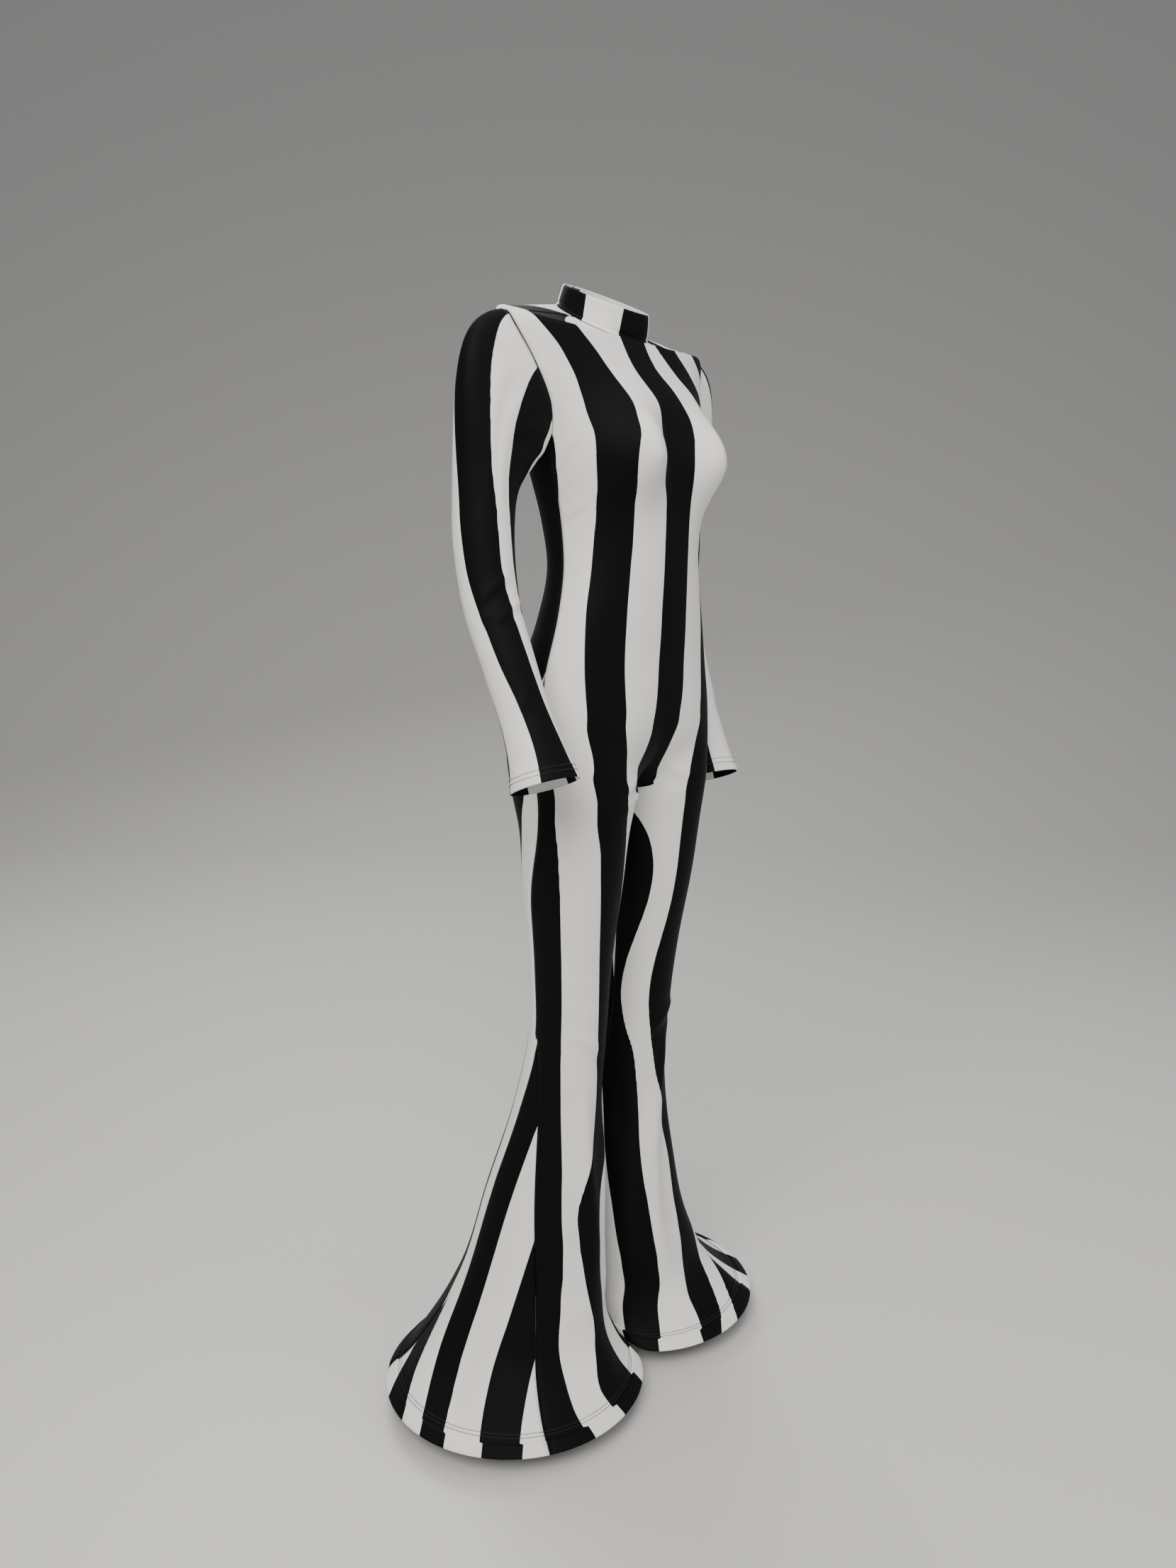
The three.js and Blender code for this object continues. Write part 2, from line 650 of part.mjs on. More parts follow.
/** A row of stitching round a cuff, lying on the cloth. */
function cuffThread(table, distance) {
  const sheet = new Sheet();
  const rows = [distance + threadWidth, distance].map((above) => {
    const row = armLoop.map((start, k) => {
      const point = sleevePoint(table, start, k / armLoop.length, 1 - above / sleeveLength);
      return sheet.addPoint(point);
    });
    return [...row, row[0]];
  });
  sheet.addGrid(rows, true);
  return sheet.thicken(...threadFaces);
}

// ---------------------------------------------------------------- zip

/** A point at a radius and an angle (degrees above level) about the zip arc's centre. */
function arcPoint(x, radius, degrees) {
  const turn = degToRad(degrees);
  const y = zipArcCentre.y + radius * Math.cos(turn);
  return new THREE.Vector3(x, y, zipArcCentre.z + radius * Math.sin(turn));
}

/** Degrees that a length along the zip takes. */
const arcDegrees = (length) => (length / zipArcRadius) * (180 / Math.PI);
const zipBottomAngle = (Math.asin((zipBottomHeight - zipArcCentre.z) / zipArcRadius) * 180) / Math.PI;
const rimBackHeight = torsoPoint(1, neckRun).z + collarRise;
const zipTopAngle = (Math.asin((rimBackHeight - zipArcCentre.z) / zipArcRadius) * 180) / Math.PI;

const tapeEndAngle = zipTopAngle - arcDegrees(2.5);
const stopRoom = stopLength + runClearance + sliderLength / 2;
const sliderTopAngle = tapeEndAngle - arcDegrees(stopRoom);

/** A bar of rectangular section carried along the zip's arc. */
function arcBar(xs, radii, from, to, count) {
  const sheet = new Sheet();
  const rows = steps(count, from, to).map((degrees) => {
    const corner = (x, radius) => {
      const sag = Math.max(Math.abs(x) - zipOpening, 0) ** 2 / (2 * tapeCurveRadius);
      return sheet.addPoint(arcPoint(x, radius - sag, degrees));
    };
    const outerEdge = xs.map((x) => corner(x, radii[1]));
    const innerEdge = [...xs].reverse().map((x) => corner(x, radii[0]));
    return [...outerEdge, ...innerEdge, outerEdge[0]];
  });
  sheet.addGrid(rows, true);
  return cappedTube(sheet, rows);
}

/** Closes a tube of rows with a fan at each end. */
function cappedTube(sheet, rows) {
  const triangles = sheet.quads.flatMap(([a, b, c, d]) => [[a, b, c], [a, c, d]]);
  const first = rows[0].slice(0, -1);
  const last = rows.at(-1).slice(0, -1);
  const pairs = first.length / 2;
  for (let k = 0; k + 1 < pairs; k += 1) {
    const strip = (ring) => [ring[k], ring[k + 1], ring[ring.length - 2 - k], ring[ring.length - 1 - k]];
    const [a, b, c, d] = strip(first);
    triangles.push([a, b, c], [a, c, d]);
    const [e, f, g, h] = strip(last);
    triangles.push([e, g, f], [e, h, g]);
  }
  return triangleGeometry(sheet.points, triangles);
}

const coilOuterRadius = zipArcRadius - tapeDepth + coilDepth + layerGap;
const zipTape = () => arcBar(
  [coilInner, zipOpening, coilInner + tapeWidth],
  [zipArcRadius - tapeDepth - tapeWall, zipArcRadius - tapeDepth],
  zipBottomAngle - 1.2, tapeEndAngle, 26,
);
const zipCoil = () => arcBar(
  [coilInner, coilInner + coilWidth],
  [coilOuterRadius - coilDepth, coilOuterRadius],
  zipBottomAngle + arcDegrees(stopLength + layerGap), tapeEndAngle - arcDegrees(stopLength + layerGap), 26,
);

/** A box in the slider's own frame: x across, y out from the body, z up the zip. */
function sliderBox(size, centre, degrees) {
  const box = new THREE.BoxGeometry(size.x, size.y, size.z);
  box.translate(centre.x, centre.y, centre.z);
  box.rotateX(degToRad(degrees));
  const origin = arcPoint(0, zipArcRadius, degrees);
  box.translate(origin.x, origin.y, origin.z);
  return box;
}

const surfaceLevel = coilOuterRadius - zipArcRadius; // the coil's outer face, from the cloth's
const sliderHalfWidth = coilInner + coilWidth + runClearance + flangeWall;
const plateBottom = surfaceLevel + runClearance;
const bridgeHalfWidth = 0.8;
const bridgeRoom = 2 * (pullPinRadius + runClearance);
const pinLevel = plateBottom + plateWall + bridgeRoom / 2;

/** Joins overlapping solids into one with manifold-3d. */
function joined(geometries) {
  const solids = geometries.map((source) => {
    const bare = source.clone();
    bare.deleteAttribute('normal');
    bare.deleteAttribute('uv');
    const merged = mergeVertices(bare, 1e-4);
    return new wasm.Manifold(new wasm.Mesh({
      numProp: 3,
      vertProperties: new Float32Array(merged.attributes.position.array),
      triVerts: new Uint32Array(merged.index.array),
    }));
  });
  const mesh = wasm.Manifold.union(solids).getMesh();
  const geometry = new THREE.BufferGeometry();
  geometry.setAttribute('position', new THREE.BufferAttribute(mesh.vertProperties, 3));
  geometry.setIndex(new THREE.BufferAttribute(mesh.triVerts, 1));
  geometry.computeVertexNormals();
  return geometry;
}

/** Two plates round the coils, joined by a thin post, with side flanges and a bridge for the pull. */
function zipSlider() {
  const lowerTop = -tapeDepth - tapeWall - runClearance;
  const bite = 0.05; // how far joined boxes reach into each other
  const slab = (width, low, high, length, x = 0, z = 0) => sliderBox(
    { x: width, y: high - low, z: length },
    { x, y: (low + high) / 2, z },
    sliderTopAngle,
  );
  const flangeX = sliderHalfWidth - flangeWall / 2;
  const bridgeFoot = plateBottom + plateWall - bite;
  const bridgeTop = plateBottom + plateWall + bridgeRoom;
  const bridgeHalf = sliderLength * 0.3;
  return joined([
    slab(sliderHalfWidth * 2, plateBottom, plateBottom + plateWall, sliderLength),
    slab(sliderHalfWidth * 2, lowerTop - plateWall, lowerTop, sliderLength),
    slab((coilInner - runClearance) * 2, lowerTop - bite, plateBottom + bite, sliderLength * 0.4),
    slab(flangeWall, plateBottom - 1.6, plateBottom + bite, sliderLength, flangeX),
    slab(flangeWall, plateBottom - 1.6, plateBottom + bite, sliderLength, -flangeX),
    slab(bridgeHalfWidth * 2, bridgeFoot, bridgeTop + bite, 0.9, 0, bridgeHalf),
    slab(bridgeHalfWidth * 2, bridgeFoot, bridgeTop + bite, 0.9, 0, -bridgeHalf),
    slab(bridgeHalfWidth * 2, bridgeTop, bridgeTop + plateWall, bridgeHalf * 2 + 0.9),
  ]);
}

/** The pull: a plate whose end is a window with a round pin across it, under the bridge. */
function zipPull() {
  const pinHeight = sliderLength * 0.3 - 0.45 - runClearance - pullPinRadius;
  const armInner = bridgeHalfWidth + runClearance;
  const armWidth = pullWidth / 2 - armInner;
  const bridgeLow = -sliderLength * 0.3 - 0.45 - runClearance;
  const windowBottom = bridgeLow - 1.2;
  const arm = (x) => sliderBox(
    { x: armWidth, y: pullWall, z: pinHeight + pullPinRadius - windowBottom },
    { x, y: pinLevel, z: (pinHeight + pullPinRadius + windowBottom) / 2 },
    sliderTopAngle,
  );
  const pin = new THREE.CylinderGeometry(pullPinRadius, pullPinRadius, armInner * 2 + 0.2, 12);
  pin.rotateZ(Math.PI / 2);
  pin.translate(0, pinLevel, pinHeight);
  pin.rotateX(degToRad(sliderTopAngle));
  const origin = arcPoint(0, zipArcRadius, sliderTopAngle);
  pin.translate(origin.x, origin.y, origin.z);
  const outline = new THREE.Shape();
  const tip = windowBottom - pullLength;
  const half = pullWidth / 2;
  outline.moveTo(-half, windowBottom + 0.1);
  outline.lineTo(-half * 0.7, tip + half);
  outline.absarc(0, tip + half, half * 0.7, Math.PI, 2 * Math.PI, false);
  outline.lineTo(half, windowBottom + 0.1);
  const plate = new THREE.ExtrudeGeometry(outline, { depth: pullWall, bevelEnabled: false, curveSegments: 8 });
  plate.rotateX(Math.PI / 2);
  plate.translate(0, pinLevel + pullWall / 2, 0);
  plate.rotateX(degToRad(sliderTopAngle));
  plate.translate(origin.x, origin.y, origin.z);
  return joined([arm(armInner + armWidth / 2), arm(-armInner - armWidth / 2), pin, plate]);
}

const zipTopStop = () => arcBar(
  [coilInner, coilInner + coilWidth],
  [coilOuterRadius - coilDepth, coilOuterRadius + 0.9],
  tapeEndAngle - arcDegrees(stopLength), tapeEndAngle, 2,
);
const zipBottomStop = () => arcBar(
  [-coilInner - coilWidth, coilInner + coilWidth],
  [coilOuterRadius - coilDepth, coilOuterRadius + 0.9],
  zipBottomAngle, zipBottomAngle + arcDegrees(stopLength), 2,
);

// ---------------------------------------------------------------- assembly

const finishes = {
  black_cloth: { color: 0x0b0b0d, roughness: 0.75, metalness: 0 },
  white_cloth: { color: 0xe9e6e0, roughness: 0.55, metalness: 0 },
  lining: { color: 0xdedbd5, roughness: 0.7, metalness: 0 },
  thread: { color: 0x15151a, roughness: 0.8, metalness: 0 },
  braid: { color: 0xd2cfc8, roughness: 0.5, metalness: 0 },
  tape: { color: 0x101013, roughness: 0.85, metalness: 0 },
  coil: { color: 0x17171a, roughness: 0.4, metalness: 0 },
  zip_metal: { color: 0x2a2a2d, roughness: 0.35, metalness: 0.9 },
};

const suit = new THREE.Group();
suit.position.z = -torsoPoint(1, neckRun).z;
const group = new THREE.Group();
group.add(suit);

function addPiece(name, finish, geometry) {
  const mesh = new THREE.Mesh(geometry, new THREE.MeshStandardMaterial(finishes[finish]));
  mesh.name = name;
  suit.add(mesh);
}

function addPair(name, finish, geometry) {
  addPiece(`${name}_left`, finish, geometry);
  addPiece(`${name}_right`, finish, mirrored(geometry));
}

addPiece('front_panel', 'white_cloth', frontPanel());
addPair('back_panel', 'black_cloth', backPanel());
addPair('flare_godet', 'white_cloth', flareGodet());
addPiece('sleeve_left', 'black_cloth', sleeve(armTables[0]));
addPiece('sleeve_right', 'black_cloth', mirrored(sleeve(armTables[1])));
addPiece('collar_outer', 'white_cloth', collarLayer(0, -collarWall));
addPiece('collar_lining', 'lining', collarLayer(-collarWall - layerGap, -2 * collarWall - layerGap));
addPair('hem_braid', 'braid', hemBraid());
addPair('hem_thread_lower', 'thread', hemThread(hemStitchRows[0]));
addPair('hem_thread_upper', 'thread', hemThread(hemStitchRows[1]));
for (const [row, distance] of [['lower', cuffStitchRows[0]], ['upper', cuffStitchRows[1]]]) {
  addPiece(`cuff_thread_${row}_left`, 'thread', cuffThread(armTables[0], distance));
  addPiece(`cuff_thread_${row}_right`, 'thread', mirrored(cuffThread(armTables[1], distance)));
}
addPair('zip_tape', 'tape', zipTape());
addPair('zip_coil', 'coil', zipCoil());
addPair('zip_top_stop', 'zip_metal', zipTopStop());
addPiece('zip_bottom_stop', 'zip_metal', zipBottomStop());
addPiece('zip_slider', 'zip_metal', zipSlider());
addPiece('zip_pull', 'zip_metal', zipPull());

export default group;
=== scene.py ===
"""Striped stretch catsuit: cloth panels, collar, sleeves, bell legs, stitching and zip.

The shapes are worked out in millimetres above the wearer's floor and turned into the frame's
metres when a mesh is made. The wearer's left is +X and the front is -Y.
"""
import logging
import math
from dataclasses import dataclass
from enum import IntEnum
from typing import Optional, Sequence, Union

import bpy
import numpy as np
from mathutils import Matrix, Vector


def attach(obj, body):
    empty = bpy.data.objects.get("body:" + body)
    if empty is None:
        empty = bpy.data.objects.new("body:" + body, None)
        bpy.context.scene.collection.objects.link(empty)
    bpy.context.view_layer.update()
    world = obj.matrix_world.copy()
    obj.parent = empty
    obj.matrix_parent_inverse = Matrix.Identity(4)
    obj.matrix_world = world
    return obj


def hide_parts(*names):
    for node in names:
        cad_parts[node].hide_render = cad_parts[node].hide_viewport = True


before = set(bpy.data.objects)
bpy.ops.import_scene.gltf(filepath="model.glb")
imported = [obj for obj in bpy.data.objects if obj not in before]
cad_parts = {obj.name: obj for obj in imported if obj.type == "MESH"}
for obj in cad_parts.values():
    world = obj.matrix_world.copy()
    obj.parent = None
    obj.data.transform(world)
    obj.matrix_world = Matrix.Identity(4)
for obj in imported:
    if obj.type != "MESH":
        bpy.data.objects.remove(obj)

LOG = logging.getLogger("catsuit")
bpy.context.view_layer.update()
SUIT = "suit"
ORIGIN_HEIGHT = 1543.8  # height of the frame's origin above the wearer's floor, in millimetres

Array = np.ndarray


def smoothstep(value: Array, low: float, high: float) -> Array:
    """Eased ramp from 0 to 1: three times the share squared less twice its cube."""
    share = np.clip((value - low) / (high - low), 0.0, 1.0)
    return share * share * (3.0 - 2.0 * share)


def gaussian(distance: Array, width: float) -> Array:
    """Bell curve: e to the minus square of distance over width."""
    return np.exp(-((distance / width) ** 2))


def mix(low: Array, high: Array, share: Array) -> Array:
    """Straight blend from low to high."""
    return low + (high - low) * share


def signed_power(value: Array, power: float) -> Array:
    """Power of the size of a value, with the value's sign."""
    return np.sign(value) * np.abs(value) ** power


def unit(vectors: Array) -> Array:
    """Vectors divided by their lengths."""
    return vectors / np.maximum(np.linalg.norm(vectors, axis=-1, keepdims=True), 1e-12)


class Profile:
    """Smooth curves through rows of values at rising stations.

    Between two stations each value is a cubic whose end slopes are the mean of the two
    neighbouring straight slopes, each weighted by the other's span.
    """

    def __init__(self, stations: Sequence[float], rows: Sequence[Sequence[float]]) -> None:
        self.stations = np.asarray(stations, float)
        self.rows = np.asarray(rows, float)
        spans = np.diff(self.stations)
        straight = np.diff(self.rows, axis=0) / spans[:, None]
        slopes = np.empty_like(self.rows)
        slopes[0], slopes[-1] = straight[0], straight[-1]
        before, after = spans[:-1, None], spans[1:, None]
        slopes[1:-1] = (straight[1:] * before + straight[:-1] * after) / (before + after)
        self.slopes = slopes

    def at(self, station: Array) -> Array:
        """Values at some stations, one more axis than the stations have."""
        s = np.clip(np.asarray(station, float), self.stations[0], self.stations[-1])
        i = np.clip(np.searchsorted(self.stations, s, side="left") - 1, 0, len(self.stations) - 2)
        span = self.stations[i + 1] - self.stations[i]
        k = ((s - self.stations[i]) / span)[..., None]
        span = span[..., None]
        return (
            (1 + 2 * k) * (1 - k) ** 2 * self.rows[i]
            + k * (1 - k) ** 2 * span * self.slopes[i]
            + k * k * (3 - 2 * k) * self.rows[i + 1]
            + k * k * (k - 1) * span * self.slopes[i + 1]
        )


@dataclass(frozen=True)
class ZipLine:
    """The arc in the middle plane that the centre back and its zip lie on."""

    radius: float = 800.0
    centre_y: float = -698.9
    centre_z: float = 1346.8
    bottom: float = 1140.0
    opening: float = 4.2

    def y(self, z: Array) -> Array:
        """The arc's depth at a height."""
        return self.centre_y + np.sqrt(self.radius**2 - (z - self.centre_z) ** 2)


class Body:
    """The worn shape: a torso whose level curves turn into two legs at the crotch.

    share goes round the left half: on the torso 0 is the centre front, 0.5 the side and 1
    the centre back; on a leg 0 is the inseam, 0.25 the front, 0.5 the outside, 0.75 the back.
    run is the length up the torso's side line from the crotch, or minus the drop below it.
    """

    # z, half width, front, back, side line's y, rise per millimetre backwards
    TORSO = (
        (885, 154, -98, 112, 4, 0),
        (935, 166, -104, 114, -2, 0),
        (990, 168, -101, 108, -8, 0),
        (1060, 156, -97, 92, -16, 0),
        (1125, 138, -100, 70, -20, 0),
        (1190, 123, -103, 59, -17, 0),
        (1250, 123, -102, 72, -12, 0),
        (1318, 137, -92, 90, -9, 0),
        (1372, 152, -79, 99, -7, 0),
        (1440, 178, -64, 96, 4, 0.12),
        (1494, 192, -51, 85, 14, 0.3),
        (1497, 150, -50, 81, 16, 0.42),
        (1500, 102, -43, 78, 18, 0.5),
        (1502, 60, -37, 76, 20, 0.55),
    )
    # z, middle x, middle y, radius outwards, radius inwards, radius front to back
    LEG = (
        (990, 86, 6, 82, 86, 104),
        (885, 84, 2, 71, 84, 92),
        (840, 84, -1, 70, 74, 80),
        (760, 83, 3, 67, 68, 72),
        (640, 78, 11, 59, 58, 59),
        (547, 75, 18, 55, 55, 56),
        (430, 76, 37, 63, 62, 65),
        (300, 84, 56, 84, 82, 88),
        (160, 105, 67, 109, 107, 113),
        (85, 125, 73, 136, 135, 141),
        (50, 138, 67, 163, 163, 166),
        (30, 144, 62, 187, 187, 187),
    )
    CROTCH = 885.0
    KNEE = 547.0
    HEM = 30.0
    FORK = 990.0

    def __init__(self, zip_line: ZipLine) -> None:
        self.zip_line = zip_line
        levels = np.asarray(self.TORSO, float)
        steps = np.hypot(np.diff(levels[:, 1]), np.diff(levels[:, 0]))
        self.runs = np.concatenate([[0.0], np.cumsum(steps)])
        self.torso_profile = Profile(self.runs, levels)
        legs = np.asarray(self.LEG, float)
        self.leg_profile = Profile(self.FORK - legs[:, 0], legs[:, 1:])
        self.neck_run = float(self.runs[-1])
        self.shoulder_run = float(self.runs[10])
        self.armhole_low_run = float(self.runs[7]) + 30.0

    def torso(self, share: Array, run: Array) -> Array:
        """Torso points: a squared-off oval at each level, fuller at the bust and the seat.

        The oval's half axes are the half width and the level's depth to the front or back,
        with exponent 2.25. The back is drawn on to the zip's arc near the middle.
        """
        z0, half_width, front, back, side_y, tilt = np.moveaxis(self.torso_profile.at(run), -1, 0)
        turn = np.pi * (share - 0.5)
        across = signed_power(np.cos(turn), 2 / 2.25)
        along = signed_power(np.sin(turn), 2 / 2.25)
        x = half_width * across
        y = side_y + np.where(along < 0, side_y - front, back - side_y) * along
        facing = np.sqrt(np.abs(np.sin(turn)))
        span = 12 * gaussian(x, 50) * gaussian(z0 - 1405, 45)
        bust = facing * (58 * gaussian(x - 78, 50) * gaussian(z0 - 1332, np.where(z0 > 1332, 72.0, 55.0)) + span)
        seat = facing * 16 * gaussian(x - 78, 62) * gaussian(z0 - 965, 60)
        y = y + np.where(along < 0, -bust, seat)
        z = z0 + tilt * y
        fade = smoothstep(z, self.zip_line.bottom - 90, self.zip_line.bottom)
        drawn = (self.zip_line.y(z0 + tilt * back) - back) * gaussian(x, 48) * fade
        y = y + np.where(along > 0, drawn, 0.0)
        return np.stack([x, y, z], -1)

    def leg(self, share: Array, z: Array) -> Array:
        """Leg points: an oval round the leg's middle, pressed flat where the legs would meet.

        Below the knee the rim rises by 0.3 mm for each that the inner side is pushed out.
        """
        mid_x, mid_y, outer, inner, depth = np.moveaxis(self.leg_profile.at(self.FORK - z), -1, 0)
        turn = np.pi * (2 * share - 1)
        across = np.cos(turn)
        free = mid_x + np.where(across < 0, inner, outer) * across
        excess = free - 3.0
        pressed = np.where(z > self.CROTCH, np.maximum(free, 0), 3.0 + (excess + np.hypot(excess, 14.0)) / 2)
        x = mix(np.maximum(free, 0), pressed, smoothstep(self.CROTCH - z, 0, 30))
        y = mid_y + depth * np.sin(turn)
        lift = 0.3 * np.maximum(x - free, 0) * smoothstep(300 - z, 0, 300)
        return np.stack([x, y, z + lift], -1)

    def point(self, share: Array, run: Array) -> Array:
        """Points of the left half: the torso above, the leg below, and a blend at the crotch.

        The blend follows a quarter circle in the middle and an eased ramp at the hips.
        """
        share, run = np.broadcast_arrays(np.asarray(share, float), np.asarray(run, float))
        up = np.maximum(run, 0)
        torso = self.torso(share, up)
        height = self.torso_profile.at(up)[..., 0]
        rise = height - self.CROTCH
        inside = gaussian(np.minimum(share, 1 - share), 0.14)
        depth = mix(165.0, 75.0, smoothstep(share, 0.4, 0.6))
        turned = np.sqrt(1 - (1 - np.clip(rise / depth, 0, 1)) ** 2)
        weight = mix(smoothstep(rise, 0, 105), turned, inside)[..., None]
        blended = mix(self.leg(share, height), torso, weight)
        low = self.leg(share, self.CROTCH + np.minimum(run, 0))
        return np.where((run <= 0)[..., None], low, blended)

    def wrapped(self, share: Array, run: Array) -> Array:
        """Points whose share may run a little past the middle plane on the torso."""
        over = (run >= 0) & ((share < 0) | (share > 1))
        inside = np.where(share < 0, -share, np.where(share > 1, 2 - share, share))
        points = self.point(np.where(over, inside, share), run)
        points[..., 0] = np.where(over, -points[..., 0], points[..., 0])
        return points

    def normal(self, share: Array, run: Array) -> Array:
        """Outward normals: the cross product of a small step round and a small step up."""
        share, run = np.broadcast_arrays(np.asarray(share, float), np.asarray(run, float))
        around = self.wrapped(share + 0.004, run) - self.wrapped(share - 0.004, run)
        above = self.point(share, np.minimum(run + 1.5, self.neck_run))
        below = self.point(share, np.where(run >= 0, np.maximum(run - 1.5, 0), run - 1.5))
        return unit(np.cross(around, above - below))

    def armhole_reach(self, run: Array) -> Array:
        """Share from the side line to the armhole's edge: a sine arch from underarm to shoulder."""
        up = (run - self.armhole_low_run) / (self.shoulder_run - self.armhole_low_run)
        arch = np.sin(np.pi * np.clip(up, 0, 1)) ** 0.6
        return np.where((up > 0) & (up < 1), 0.085 * arch, 0.0)

    def bell_drop(self, run: Array) -> Array:
        """How far down from the knee to the rim, from 0 to 1."""
        return np.clip((self.KNEE - self.CROTCH - run) / (self.KNEE - self.HEM), 0, 1)

    def side_seam(self, run: Array) -> Array:
        """Share of the girth at the side seam, which swings forward round the bell."""
        knee = 0.5 + 0.048 * smoothstep(-run, 0, 160)
        return mix(knee, 0.341, self.bell_drop(run) ** 0.6)

    def godet_share(self, run: Array) -> Array:
        """Share of the girth that the flare's wedge takes: none at the knee."""
        return 0.3 * self.bell_drop(run) ** 0.8


@dataclass(frozen=True)
class Arm:
    """The line that one sleeve follows, and how the sleeve leaves the armhole."""

    # share of the sleeve's length, x outwards, y, z, radius
    stations: tuple[tuple[float, ...], ...]
    side: int
    cap_share: float = 0.34

    def rings(self, share: Array, turn: Array) -> tuple[Array, Array]:
        """Points of round rings square to the arm's line, and the line's direction."""
        table = np.asarray(self.stations, float)
        profile = Profile(table[:, 0], table[:, 1:])
        here = profile.at(share)
        ahead, behind = (profile.at(np.clip(share + d, 0, 1)) for d in (0.01, -0.01))
        direction = unit((ahead - behind)[..., :3])
        sideways = unit(np.cross(np.broadcast_to([0.0, 1.0, 0.0], direction.shape), direction))
        forward = unit(np.cross(direction, sideways))
        offset = sideways * np.cos(turn)[..., None] - forward * np.sin(turn)[..., None]
        return here[..., :3] + offset * here[..., 3:4], direction

    def points(self, start: Array, loop: Array, share: Array) -> Array:
        """Sleeve points: a cubic curve from each armhole point to a ring, then rings.

        Args:
            start: Armhole points, one for each place round the loop.
            loop: Place round the loop, from 0 at the underarm back to 1.
            share: Share of the sleeve's length.
        """
        turn = 2 * np.pi * loop
        rings, _ = self.rings(share, turn)
        end, direction = self.rings(np.full_like(share, self.cap_share), turn)
        reach = np.linalg.norm(end - start, axis=-1, keepdims=True)
        upness = ((1 - np.cos(turn)) / 2)[..., None]
        leave = unit(np.concatenate([mix(0.35, 0.98, upness), 0 * upness, mix(-0.93, -0.12, upness)], -1))
        first = start + leave * reach * mix(0.36, 0.42, upness)
        second = end - direction * reach * 0.4
        t = np.clip(share / self.cap_share, 0, 1)[..., None]
        cap = (1 - t) ** 3 * start + 3 * t * (1 - t) ** 2 * first + 3 * t * t * (1 - t) * second + t**3 * end
        return np.where((share >= self.cap_share)[..., None], rings, cap)


RIGHT_ARM = Arm(
    (
        (0.0, 182, 22, 1425, 48),
        (0.15, 207, 23, 1350, 44),
        (0.35, 227, 23, 1240, 39),
        (0.5, 232, 9, 1155, 36),
        (0.7, 236, -28, 1067, 33),
        (0.85, 237, -60, 994, 33),
        (0.95, 238, -80, 947, 39),
        (1.0, 239, -89, 924, 44),
    ),
    -1,
)
LEFT_ARM = Arm(
    (
        (0.0, 178, 34, 1425, 46),
        (0.15, 196, 52, 1350, 43),
        (0.35, 220, 55, 1240, 39),
        (0.5, 222, 55, 1155, 36),
        (0.7, 217, 32, 1060, 33),
        (0.85, 210, 1, 968, 33),
        (0.95, 203, -20, 908, 39),
        (1.0, 200, -30, 880, 44),
    ),
    1,
)


# ---------------------------------------------------------------- stripe layout

STRIPE = 55.0  # width of one printed stripe
CLOTH_WALL = 0.8  # real thickness of the jersey
SEAM_GAP = 0.3  # between the edges of two sewn panels
MEAN_GIRTH = 800.0  # trunk girth that turns a gap into a share of a level


